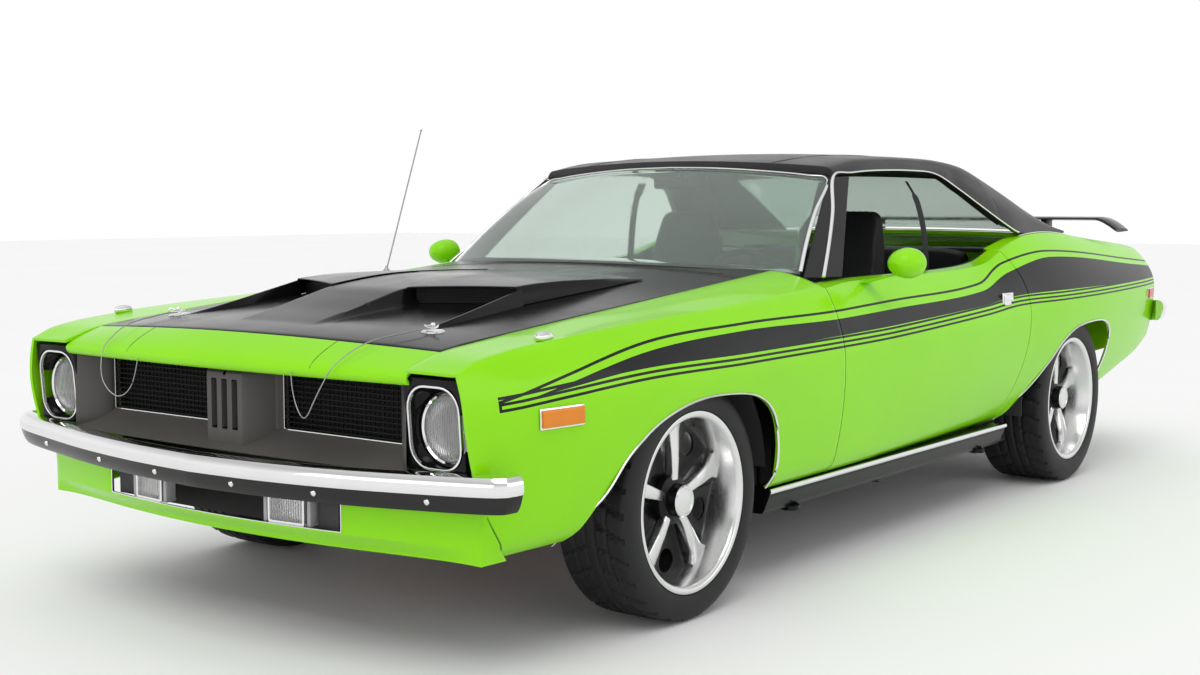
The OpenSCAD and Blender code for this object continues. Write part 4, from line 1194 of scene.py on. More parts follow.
@dataclass
class Roof:
    """Vinyl roof, pillars, glass and their bright mouldings."""

    thick: float = 26.0
    edge_x: Knots = tuple(front_knots((1220, 618), (1450, 636), (1970, 645), (2080, 665))
                          + rear_knots((-620, 675), (-520, 715), (-400, 762), (-315, 790), (-50, 785),
                                       (210, 776)))
    edge_z: Knots = tuple(front_knots((1220, 1218), (1450, 1240), (1970, 1236))
                          + rear_knots((-620, 1178), (-520, 1120), (-400, 1052), (-315, 1014), (-50, 1012),
                                       (210, 1003)))
    ridge_x: Knots = tuple(front_knots((1220, 570), (1450, 585), (1970, 600))
                           + rear_knots((-520, 622), (-370, 640), (-243, 690), (-50, 728), (85, 748),
                                        (210, 756)))
    ridge_z: Knots = tuple(front_knots((1220, 1246), (1450, 1282), (1970, 1290))
                           + rear_knots((-520, 1268), (-370, 1226), (-243, 1162), (-50, 1084), (85, 1040),
                                        (210, 1012)))
    mid_z: Knots = tuple(front_knots((1180, 1264), (1370, 1292), (1620, 1311), (1870, 1314))
                         + rear_knots((-620, 1303), (-400, 1262)))
    glass_x: Knots = tuple(rear_knots((-400, 480), (-100, 512), (210, 560)))
    glass_z: Knots = tuple(rear_knots((-400, 1252), (-250, 1196), (-50, 1116), (210, 1018)))

    def section(self, y: float, inner_x: float, inner_z: float, t: float) -> tuple[float, float]:
        """Point (x, z) of the roof's section at a station, from its edge to an inner end."""
        ex, ez = curve(self.edge_x, y), curve(self.edge_z, y)
        gx, gz = curve(self.ridge_x, y), curve(self.ridge_z, y)
        points = [(ex, ez), (mix(ex, gx, 0.45) + 8, mix(ez, gz, 0.5) + 5)]
        points += [(mix(gx, inner_x, k), mix(gz, inner_z, 1 - (1 - k) ** 2)) for k in (0, 0.25, 0.5, 0.75, 1)]
        x, z = along(points, t)
        return x, z

    def top(self, u: float, v: float) -> Point:
        """Point of the roof panel."""
        y = mix(f(1250), r(-400), u)
        s = 1 - abs(2 * v - 1)
        x, z = self.section(y, 0, curve(self.mid_z, y), s)
        x = x if v < 0.5 else -x
        return x, y - 75 * (1 - (x / 640) ** 2) * clamp(1 - u / 0.12), z

    def sail(self, u: float, v: float) -> Point:
        """Point of the left sail panel beside the rear window."""
        y = mix(r(-399.5), r(212), u)
        x, z = self.section(y, curve(self.glass_x, y), curve(self.glass_z, y), v)
        return x, y, z

    def windshield(self, u: float, v: float) -> Point:
        """Point of the windshield."""
        s = 1 - 2 * v
        x = s * mix(HW - 200, 604, u)
        y = mix(BODY.glass_base(x), f(1238) - 70 * (1 - s * s), u)
        z = mix(900 + 26 * (1 - s * s), 1212 + 40 * (1 - s * s), u)
        return x, y, z + 14 * math.sin(math.pi * u)

    def rear_glass(self, u: float, v: float) -> Point:
        """Point of the rear window."""
        y = mix(r(-394), r(190), u)
        s = 1 - 2 * v
        crown = 16 * (1 - s * s) * (1 - ((y - r(-105)) / 400) ** 2)
        return s * (curve(self.glass_x, y) - 1), y, curve(self.glass_z, y) + crown - 6

    def build(self) -> None:
        """Makes the roof, its glass and its mouldings."""
        roof = panel_of("roof_vinyl", 60, 72, self.top, self.thick, 2.5)
        FINISHES.dress(roof, "vinyl")
        FINISHES.part(roof, "black", lambda c, n: n.z < -0.3)
        put(roof, "", "root", "vinyl", "roof")
        sail = panel_of("sail_left", 50, 30, self.sail, 12, 2)
        pair(sail, "vinyl", "root", "vinyl")
        put(panel_of("windshield_glass", 16, 40, self.windshield, 5, 0.8), "glass", "root", "glass",
            "windshield")
        put(panel_of("rear_window_glass", 20, 32, self.rear_glass, 5, 0.8), "glass", "root", "glass",
            "rear_window")
        self._pillars()
        self._mouldings()

    def _pillars(self) -> None:
        """Windshield pillars with their inner trim."""
        base = ((740, f(830), 893), (792, f(868), 893), (802, f(975), 893), (745, f(985), 893))
        high = ((608, f(1226), 1216), (628, f(1240), 1214), (634, f(1330), 1218), (612, f(1330), 1220))

        def ring(u: float) -> list[Point]:
            """One ring of the sweep."""
            return [tuple(mix(a, b, u) + (6 * math.sin(math.pi * u) if i == 2 else 0)
                          for i, (a, b) in enumerate(zip(p, q))) for p, q in zip(base, high)]

        left = sweep("pillar_left", 12, ring)
        finish_modifier(left, "BEVEL", width=0.004, segments=3, limit_method="ANGLE")
        smooth(left, 50)
        pair(left, "black", "root", "trim")

    def _mouldings(self) -> None:
        """Drip rails, glass surrounds, the vinyl's lower edge and its seams."""
        stations = [f(1236), f(1340), f(1500), f(1760), f(1970), r(-620), r(-520), r(-430), r(-350), r(-318)]
        rail = [(curve(self.edge_x, y) + 3, y, curve(self.edge_z, y) - 1) for y in stations]
        rail = [(796, f(862), 897), (744, f(990), 1002), (690, f(1110), 1104)] + rail
        foot = [(curve(self.edge_x, y) + 4, y, BODY.rear_z(curve(self.edge_x, y), y) + 3)
                for y in (r(-315), r(-240), r(-150), r(-50), r(80), r(208))]
        across = [(x, r(214), BODY.rear_z(x, r(214)) + 4) for x in (776, 500, 250, 0)]
        screen = [self.windshield(u, 0.0) for u in (0.03, 0.3, 0.6, 0.97)]
        screen += [self.windshield(1.0, v) for v in (0.06, 0.18, 0.34, 0.5)]
        back = [self.rear_glass(u, 0.0) for u in (0.98, 0.7, 0.4, 0.1)]
        back += [self.rear_glass(0.0, v) for v in (0.05, 0.2, 0.5)]
        for name, points, radius in (("drip_rail", rail, 6.5), ("quarter_moulding", foot + across[:1], 4.5),
                                     ("deck_moulding", across, 4.5), ("windshield_trim", screen, 7),
                                     ("rear_window_trim", back, 6)):
            left = tube(f"{name}_left", points, radius, 10, 8, 0.6)
            pair(left, "chrome", "root", "chrome")
        base = tube("windshield_seal", [(x, y - 1, z + 1) for x, y, z in
                                        (self.windshield(0.0, v) for v in (0, 0.15, 0.3, 0.5, 0.7, 0.85, 1))],
                    5, 8, 8)
        put(base, "black", "root", "trim")
        seam = tube("vinyl_seam_left", [self.top(u, 0.27) for u in (0.01, 0.1, 0.3, 0.6, 0.85, 0.99)], 2.4, 8,
                    10,
                    0.8)
        pair(seam, "vinyl", "root", "vinyl")


@dataclass
class SideTrim:
    """Arch lips, sill strips, handles, mirrors, markers, wing, aerial and repeaters."""

    lip: float = 5.0

    def _lips(self) -> None:
        """Bright lips round the arches and along the sills."""
        for name, knots, base, reach in (("front", FRONT_ARCH, f, 0.985), ("rear", REAR_ARCH, r, 0.97)):
            points = [(BODY.side_x(base(y), z) + 1.5, base(y), z + 2) for y, z in knots]
            left = tube(f"arch_lip_{name}_left", points, self.lip, 8, 8, 0.7)
            pair(left, "chrome", "root", "chrome")
        strip = [(HW - 63, y, 287) for y in (f(425), f(800), 0, r(-800), r(-585))]
        left = tube("sill_strip_left", strip, 5, 8, 10, 1.6)
        pair(left, "chrome", "root", "chrome")

    def _doors(self) -> None:
        """Handles, locks and mirrors, which ride on the doors."""
        y, z = f(2045), 772
        x = BODY.side_x(y, z)
        plate = block("handle_plate", (x - 6, y - 52, z - 26), (x + 4, y + 40, z + 26), 4)
        flap = block("handle_flap", (x + 2, y - 46, z - 20), (x + 12, y + 6, z + 20), 5)
        lock = lathe("lock", [(0, 8), (7, 8), (9, 5), (9, -2)], (x, y + 24, z), LEFT, 24)
        handle = join("door_handle_left", [plate, flap, lock])
        pair(handle, "chrome", "door_left", "chrome")
        my = f(1050)
        shell = lathe("mirror_shell", [(0.1, -62), (26, -56), (44, -38), (56, -10), (60, 16), (58, 30),
                                       (52, 32), (50, 26), (0.1, 24)], (HW + 52, my, 938), BACK, 40)
        shell.data.transform(Matrix.Translation((0, 0, 0.938)) @ Matrix.Diagonal((1, 1, 0.82, 1))
                             @ Matrix.Translation((0, 0, -0.938)))
        stalk = sweep("mirror_stalk", 10, lambda u: [
            (mix(HW - 96, HW + 40, u**1.2) + mix(26, 15, u) * math.cos(a), my + mix(36, 15, u) * math.sin(a),
             mix(872, 905, u)) for a in (TAU * k / 16 for k in range(16))])
        mirror = join("mirror_left", [shell, stalk])
        FINISHES.dress(mirror, "paint")
        FINISHES.part(mirror, "chrome", lambda c, n: c.y > my + 20 and n.y > 0.9)
        pair(mirror, "", "door_left", "lime_paint")

    def _markers(self) -> None:
        """Side markers and fender repeaters."""
        for name, y0, y1, z0, z1, lens in (("front", f(-660), f(-520), 600, 643, "amber"),
                                           ("rear", r(950), r(1060), 700, 740, "red")):
            def patch(u: float, v: float, grow: float = 0.0, out: float = 9.0) -> Point:
                """Point of the marker."""
                y, z = mix(y0 - grow, y1 + grow, u), mix(z0 - grow, z1 + grow, v)
                return BODY.side_x(y, z) + out, y, z

            lamp = panel_of(f"marker_{name}_left", 12, 4, patch, 8, 2.5)
            bezel = panel_of(f"marker_bezel_{name}_left", 12, 4, lambda u, v: patch(u, v, 4, 3.5), 3.5, 1.5)
            put(lamp, lens, "root", "amber_lens")
            put(bezel, "chrome", "root", "chrome")
            put(other_side(lamp, f"marker_{name}_right"), lens, "root", "amber_lens")
            put(other_side(bezel, f"marker_bezel_{name}_right"), "chrome", "root", "chrome")
            if name == "front":
                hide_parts("side_markers")
        x, y = 842, f(-554)
        z = BODY.front_z(x - 30, y)
        bullet = lathe("fender_repeater_left", [(0.1, -34), (9, -30), (13, -18), (14, 0), (12, 16), (9, 24),
                                                (0.1, 26)], (x - 22, y, z + 7), BACK, 24)
        pair(bullet, "chrome", "root", "chrome")

    def _wing(self) -> None:
        """Rear wing with its down-turned tips."""
        top = 1057

        def ring(u: float) -> list[Point]:
            """One ring of the sweep."""
            x = mix(772, -772, u)
            drop = 52 * clamp((abs(x) - 690) / 82) ** 1.4
            front = 40 * clamp((abs(x) - 690) / 82)
            outline = ((820, -4), (826, 2), (850, 6), (920, 9), (990, 5), (1028, 1), (1030, -2), (1026, -5),
                       (980, -6), (920, -8), (850, -8))
            return [(x, r(mix(y, 1030, front / 210)), top - drop + z) for y, z in outline]

        wing = sweep("wing_blade", 60, ring)
        legs = [block("wing_leg", (s * 430 - 14, r(870), BODY.rear_z(430, r(870)) - 2),
                      (s * 430 + 14, r(950), top), 5) for s in (1, -1)]
        put(join("rear_wing_blade", [wing, *legs]), "satin", "deck_lid", "satin_black", "rear_wing")

    def _aerial(self) -> None:
        """Aerial on the right fender."""
        x, y = -(HW - 220), f(460)
        z = BODY.front_z(x, y) + 2
        foot = lathe("aerial_foot", [(0.1, 0), (15, 0), (14, 5), (9, 9), (5, 16), (3, 22)], (x, y, z), UP, 24)
        lean = math.radians(20)
        tip = (x, y + 530 * math.sin(lean), z + 530 * math.cos(lean))
        mast = tube("aerial_mast", [(x, y, z + 8), tip], 2.5, 8, 2)
        knob = lathe("aerial_knob", [(0.1, -3), (3, -2), (4, 0), (3, 3), (0.1, 4)], tip, UP, 12)
        put(join("aerial", [foot, mast, knob]), "steel", "root", "chrome", "antenna")

    def build(self) -> None:
        """Makes all side trim."""
        self._lips()
        self._doors()
        self._markers()
        self._wing()
        self._aerial()


# ---------- cords, nose and tail ----------


@dataclass
class Lanyards:
    """The two cables that tie the hood pins to the header panel."""

    width: float = 3.0
    route: tuple[Point, ...] = (
        (499, -607, 812), (494, -650, 812), (488, -700, 806), (480, -750, 800), (470, -800, 790),
        (458, -850, 768), (446, -895, 735), (432, -915, 695), (414, -925, 655), (392, -922, 625),
        (368, -914, 610), (344, -906, 616), (322, -900, 640), (308, -897, 675), (300, -894, 714))

    def build(self) -> None:
        """Makes both cables."""
        for side, name in ((1, "left"), (-1, "right")):
            route = [(side * x, f(y), z) for x, y, z in self.route]
            count = (len(route) - 1) * 6
            path = [tuple(c * MM for c in along(route, k / count)) for k in range(count + 1)]
            piece = tube(f"lanyard_cable_{name}", route, self.width / 2, 8, 6)
            put(piece, "steel", "hood", "chrome", f"lanyard_{name}")
            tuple(path[0])
            sum(math.dist(a, b) for a, b in zip(path, path[1:]))


def border(name: str, low: tuple[float, float], high: tuple[float, float], front: Callable[[float], float],
           radius: float = 6, width: float = 4, depth: float = 5) -> Piece:
    """A raised frame round a rectangle that faces forwards.

    Args:
        name: The piece's name.
        low: The rectangle's lowest x and z.
        high: Its highest x and z.
        front: Station of the frame's face at an x.
        radius: Radius of its corners.
        width: Width of its band.
        depth: How far it reaches back.

    Returns:
        The new object.
    """
    path = []
    for cx, cz, start in ((high[0], high[1], 0), (low[0], high[1], 1), (low[0], low[1], 2),
                          (high[0], low[1], 3)):
        for k in range(7):
            a = math.pi / 2 * (start + k / 6)
            ix = cx - math.copysign(radius, cx - low[0] - 1e-6)
            iz = cz - math.copysign(radius, cz - low[1] - 1e-6)
            path.append((ix, iz, math.cos(a), math.sin(a)))
        path.append(None)
    filled = []
    for k, point in enumerate(path):
        if point is not None:
            filled.append(point)
            continue
        a, b = path[k - 1], path[(k + 1) % len(path)]
        edge = [tuple(mix(p, q, t / 12) for p, q in zip(a, b)) for t in range(1, 12)]
        filled.extend(edge)
    section = ((-0.5, 0.6), (-0.3, 0), (0.3, 0), (0.5, 0.6), (0.5, depth), (-0.5, depth))

    def ring(u: float) -> list[Point]:
        """One ring of the sweep."""
        x, z, nx, nz = filled[round(u * len(filled)) % len(filled)]
        return [(x + nx * (radius + k * width), front(x) + d, z + nz * (radius + k * width)) for k,
                d in section]

    return sweep(name, len(filled), ring, closed=True)


def cut(piece: Piece, cutter: Piece) -> Piece:
    """Cuts one solid out of another, removes the cutter and returns the piece."""
    finish_modifier(piece, "BOOLEAN", operation="DIFFERENCE", object=cutter, solver="EXACT")
    bpy.data.objects.remove(cutter)
    smooth(piece, 30)
    return piece


@dataclass
class Nose:
    """Grille, headlights, front bumper and valance."""

    mouth: float = f(-775)
    bumper_half: float = 948
    slot_half: float = 450
    slot_low: float = 334.5
    slot_high: float = 440.5
    valance_half: float = 826
    front_plan: Knots = ((0, 0), (250, 14), (500, 42), (720, 80), (850, 104), (920, 124), (944, 146),
                         (948, 190))
    lamp: Point = (738, f(-800), 603)

    def build(self) -> None:
        """Makes the whole nose."""
        self._mouth()
        self._divider()
        self._headlight()
        self._bumper()
        self._valance()
        self._pins()

    def _mouth(self) -> None:
        """Recessed frame, barred openings and shelf."""
        plate = block("grille_frame", (-634, self.mouth, 500), (634, self.mouth + 16, 712), 2)
        for s in (1, -1):
            hole = block("hole", (min(s * 140, s * 565), self.mouth - 20, 548),
                         (max(s * 140, s * 565), self.mouth + 60, 692), 5)
            cut(plate, hole)
        put(plate, "argent", "root", "argent", "grille")

        def shelf(u: float, v: float) -> Point:
            """Point of the shelf."""
            x = mix(-640, 640, v)
            lip = self.mouth - 84 - 22 * (1 - (x / 640) ** 2)
            return x, mix(self.mouth - 1, lip, u), mix(546, 497, u**0.75)

        put(panel_of("grille_shelf", 12, 60, shelf, 4, 1), "argent", "root", "argent")

        def wall(u: float, v: float) -> Point:
            """Point of the flare."""
            return mix(572, 643, u**1.6), mix(self.mouth - 1, self.mouth - 78, u), mix(500, 712, v)

        flare = panel_of("grille_flare_left", 12, 6, wall, 3, 0.8)
        pair(flare, "argent", "root", "argent")
        bars = [block("bar", (144, self.mouth + 9, z - 2), (561, self.mouth + 16, z + 2), 1.2)
                for z in (552 + 136 * k / 10 for k in range(11))]
        bars += [block("upright", (x - 0.9, self.mouth + 15, 550), (x + 0.9, self.mouth + 19, 690), 0.4)
                 for x in (144 + 417 * k / 26 for k in range(27))]
        bars.append(block("backing", (136, self.mouth + 30, 540), (569, self.mouth + 36, 700), 1))
        left = join("grille_bars_left", bars)
        pair(left, "mesh", "root", "argent")
        trim = border("grille_trim_left", (140, 548), (565, 692), lambda x: self.mouth - 2, 6, 3.4, 8)
        pair(trim, "chrome", "root", "chrome")

    def _divider(self) -> None:
        """Protruding centre piece with its three slots."""
        outline = [(-120, 2), (-112, -4), (-78, -70), (-68, -78), (68, -78), (78, -70), (112, -4), (120, 2)]

        def ring(u: float) -> list[Point]:
            """One ring of the sweep."""
            slope = 26 * clamp((u - 0.86) / 0.14) ** 2
            return [(x, self.mouth + min(2, y + slope), mix(500.3, 711.5, u)) for x, y in outline]

        piece = sweep("grille_divider", 20, ring, angle=25)
        for x in (-40, 0, 40):
            cut(piece, block("slot", (x - 11, self.mouth - 90, 545), (x + 11, self.mouth - 44, 675), 4))
        cut(piece, lathe("hole", [(0.1, -20), (6, -20), (6, 30), (0.1, 30)], (0, self.mouth - 80, 690), BACK,
                         24))
        FINISHES.dress(piece, "argent")
        FINISHES.part(piece, "mesh", lambda c, n: abs(c.x) < 60 and c.y > self.mouth - 70 and 540 < c.z < 700
                      and c.y < self.mouth - 20)
        put(piece, "", "root", "argent")

    def _headlight(self) -> None:
        """Black bucket, bright bezel with screws, reflector and fluted lens."""
        x, y, z = self.lamp
        bucket = block("headlight_bucket_left", (637, f(-857), 500.5), (821, f(-772), 725), 5)
        cut(bucket, block("recess", (649, f(-900), 509), (813, f(-812), 707), 56, 9))
        cut(bucket, lathe("bore", [(0.1, -60), (93, -60), (91, 22), (0.1, 22)], self.lamp, BACK, 72))
        rim = border("bezel_edge", (651, 511), (811, 705), lambda x: f(-858.5), 56, 5, 9)
        for piece in (bucket, rim):
            for vertex in piece.data.vertices:
                if vertex.co.y < f(-815) * MM:
                    vertex.co.y += 0.08 * (716 * MM - vertex.co.z)
        pair(bucket, "satin", "root", "trim")
        bezel = lathe("bezel", [(78, 6), (79, -5), (83, -9), (88.5, -7), (89, 6), (84, 9), (78, 6)],
                      self.lamp,
                      BACK, 72)
        screws = [lathe("screw", [(0.1, -3), (3, -2.6), (3.4, -1), (3.4, 3)],
                        (x + 84.5 * math.cos(a), y - 8, z + 84.5 * math.sin(a)), BACK, 12)
                  for a in (0.6, 2.5, 3.75, 5.7)]
        bowl = lathe("reflector", [(77, 3), (66, 18), (44, 26), (20, 28), (0.1, 28), (0.1, 29), (78, 29),
                                   (78, 3)],
                     self.lamp, BACK, 48)
        shiny = join("headlight_bezel_left", [bezel, *screws, bowl, rim])
        pair(shiny, "chrome", "root", "chrome")
        lens = lathe("headlight_lens_left", [(0.1, -17), (20, -16.4), (45, -13.6), (66, -8.4), (78, -3),
                                             (78, -1),
                                             (66, -5), (45, -10.5), (20, -13.4), (0.1, -14)], self.lamp, BACK,
                     64)
        pair(lens, "flutes", "root", "lamp_glass", "headlights")

    def bumper(self, name: str, plan: Knots, tip: float, sign: float, heights: tuple[float, float]) -> None:
        """One bumper, swept along its plan from side to side.

        Args:
            name: The piece's name; the CAD node has the same name without its ending.
            plan: Depth back from its tip by half width.
            tip: Station of its tip.
            sign: -1 in front and 1 behind.
            heights: Its middle height at the centre and at its ends.
        """
        section = ((-34, 46), (-24, 46), (-11, 41), (-3, 31), (0, 18), (0, 6), (-3, -2), (-7, -18),
                   (-13, -34),
                   (-20, -44), (-27, -46), (-34, -46))
        half = resampled([(x, d) for x, d in plan], 40)
        line = [(-x, d) for x, d in reversed(half)][:-1] + half

        def ring(u: float) -> list[Point]:
            """One ring of the sweep."""
            i = round(u * (len(line) - 1))
            a, b = line[max(0, i - 1)], line[min(len(line) - 1, i + 1)]
            run = math.dist(a, b)
            out = ((b[1] - a[1]) / run, -(b[0] - a[0]) / run)
            x, d = line[i]
            z = mix(heights[0], heights[1], (abs(x) / self.bumper_half) ** 2)
            return [(x + out[0] * s, tip - sign * (d + out[1] * s), z + h) for s, h in section]

        piece = sweep(f"{name}_bar", len(line) - 1, ring, angle=28)
        FINISHES.dress(piece, "chrome")
        # painted dark reflection: the front bumper's lower half takes near-black chrome in place of the dark
        # ground that its chrome reflects there
        if sign < 0:
            FINISHES.part(piece, "shade", lambda c, n: c.z < mix(*heights, (c.x / self.bumper_half) ** 2)
                          and abs(n.z) < 0.95)
        put(piece, "", "root", "chrome", name)
        bolts = []
        for x in (150, 420, 740):
            y = tip - sign * (curve(plan, x) + 7)
            z = mix(heights[0], heights[1], (x / self.bumper_half) ** 2) - 20
            for s in (1, -1):
                bolts.append(lathe("bolt", [(0.1, 4), (4, 3.6), (7, 2), (8, -1), (8, -4)], (s * x, y, z),
                                   (0, sign, -0.35), 16))
        put(join(f"{name}_bolts", bolts), "chrome", "root", "chrome")

    def _bumper(self) -> None:
        """Front bumper."""
        self.bumper("front_bumper", self.front_plan, -LENGTH / 2, -1, (452, 470))

    @staticmethod
    def valance_y(x: float) -> float:
        """Station of the valance's face."""
        return f(-790) - 120 * (1 - (x / 847) ** 2)

    def _valance(self) -> None:
        """Body-colour valance with its slot, dividers and lamps."""
        cols = [480, 474, self.slot_high, 425, 400, 375, 350, self.slot_low, 330, 318, 304, 292, 286]
        rows, straight = 80, 0.9
        edge = ((287, f(-704)), (401, f(-789)), (490, f(-835)))

        def place(u: float, v: float) -> Point:
            """Point of the panel."""
            s = 1 - 2 * u
            x = self.valance_half * max(-1.0, min(1.0, s / straight))
            if abs(abs(x) - self.slot_half) < 12.6:
                x = math.copysign(self.slot_half, x)
            z = cols[round(v * (len(cols) - 1))]
            tuck = 40 * clamp((330 - z) / 30) ** 1.5 * (1 - (x / self.valance_half) ** 8)
            y = self.valance_y(x) + tuck + (3 if z > 476 else 0)
            t = clamp((abs(s) - straight) / (1 - straight))
            if t:
                y = mix(y, max(y + 3, curve(edge, z) - 4), t)
                x = math.copysign(mix(self.valance_half, max(829, BODY.side_x(y, z) - 1), t), x)
            return x, y, z

        piece = sheet_of("valance_skin", rows, len(cols) - 1, place)
        take(piece)
        bpy.ops.object.mode_set(mode="EDIT")
        bpy.ops.mesh.select_mode(type="FACE")
        bpy.ops.mesh.select_all(action="DESELECT")
        bpy.ops.object.mode_set(mode="OBJECT")
        for face in piece.data.polygons:
            c = face.center / MM
            face.select = abs(c.x) < self.slot_half and self.slot_low < c.z < self.slot_high
        bpy.ops.object.mode_set(mode="EDIT")
        bpy.ops.mesh.delete(type="FACE")
        bpy.ops.mesh.select_mode(type="VERT")
        bpy.ops.object.mode_set(mode="OBJECT")
        finish_modifier(piece, "SOLIDIFY", thickness=0.006, offset=-1)
        finish_modifier(piece, "BEVEL", width=0.0015, segments=2, limit_method="ANGLE", angle_limit=1.0)
        smooth(piece, 35)
        put(piece, "paint", "root", "lime_paint", "front_valance")
        edging = border("valance_edging", (-self.slot_half, self.slot_low), (self.slot_half, self.slot_high),
                        lambda x: self.valance_y(x) - 1.5, 5, 3, 6)
        put(edging, "chrome", "root", "chrome")
        y = self.valance_y(270)
        surround = border("lamp_frame", (213, 338), (327, 418), lambda x: self.valance_y(x) + 5, 4, 7, 12)
        shell = block("lamp_shell", (211, y + 30, 336), (329, y + 52, 420), 2)
        left = join("valance_lamp_frame_left", [surround, shell])
        pair(left, "chrome", "root", "chrome")

        def lens(u: float, v: float) -> Point:
            """Point of the lens."""
            x = mix(325, 215, u)
            bulge = 4 * (1 - (2 * u - 1) ** 4) * (1 - (2 * v - 1) ** 4)
            return x, self.valance_y(x) + 9 - bulge, mix(416, 340, v)

        glass = panel_of("valance_lamp_lens_left", 20, 14, lens, 3, 0.5)
        pair(glass, "flutes", "root", "lamp_glass")
        posts = [block("post", (x - 6, self.valance_y(x) + 8, 335.5), (x + 6, self.valance_y(x) + 40, 439.5),
                       2)
                 for x in (198, 342)]
        front = self.valance_y(270)
        posts.append(block("sill", (198, front + 14, 424), (342, front + 40, 439.5), 2))
        back = block("air_box", (-500, f(-768), 300), (500, f(-762), 484), 2)
        put(back, "mesh", "root", "trim")
        rest = join("valance_dividers_left", posts)
        pair(rest, "alloy", "root", "trim")

    def _pins(self) -> None:
        """Hood pins on their plates."""
        x, y = 499, f(-600)
        z = BODY.front_z(x, y) + 0.6
        slopes = (BODY.front_z(x - 4, y) - BODY.front_z(x + 4, y), BODY.front_z(x, y - 4) - BODY.front_z(x, y + 4))
        up = Vector((*slopes, 8))
        plate = lathe("plate", [(0.1, 3.4), (8, 3.6), (24, 3.4), (28, 2.6), (31, 0.2), (31, 0)], (x, y, z),
                      up, 48)
        pin = lathe("pin", [(6, 0), (6, 13), (6.6, 14), (6.2, 20), (4.6, 22), (0.1, 22.4)], (x, y, z), up, 24)
        clip = tube("clip", [(x - 27, y + 4, z + 13), (x - 10, y - 1, z + 14), (x + 12, y - 2, z + 13),
                             (x + 25, y - 8, z + 17), (x + 27, y - 17, z + 11), (x + 12, y - 14, z + 9),
                             (x - 16, y - 7, z + 11), (x - 26, y - 3, z + 15)], 2.2, 8, 8)
        left = join("hood_pin_left", [plate, pin, clip])
        pair(left, "chrome", "hood", "chrome", "hood_pins")



@dataclass
class Tail:
    """Tail lamps and rear bumper."""

    plan: Knots = ((0, 0), (250, 2), (500, 6), (720, 12), (850, 20), (905, 34), (932, 58), (938, 130))

    def build(self) -> None:
        """Makes the tail."""
        Nose().bumper("rear_bumper", self.plan, LENGTH / 2, 1, (600, 640))
        rings, lenses = [], []
        for x in (520, 690):
            centre = (x, BODY.tail, 740)
            rings.append(lathe("ring", [(52, 3), (53, 20), (58, 23.5), (64, 20), (66, 3), (66, 0.6),
                                        (52, 0.6)],
                               centre, BACK, 64))
            lenses.append(lathe("lens", [(0.1, 21), (16, 20), (17, 17), (20, 17), (21, 19.4), (38, 17),
                                         (39, 14),
                                         (42, 14), (43, 16), (52, 13), (52, 1), (0.1, 1)], centre, BACK, 64))
        ring, lens = join("tail_lamp_rings_left", rings), join("tail_lamp_lenses_left", lenses)
        pair(ring, "chrome", "root", "chrome")
        pair(lens, "red", "root", "red_lens", "tail_lights")


# ---------- wheels ----------


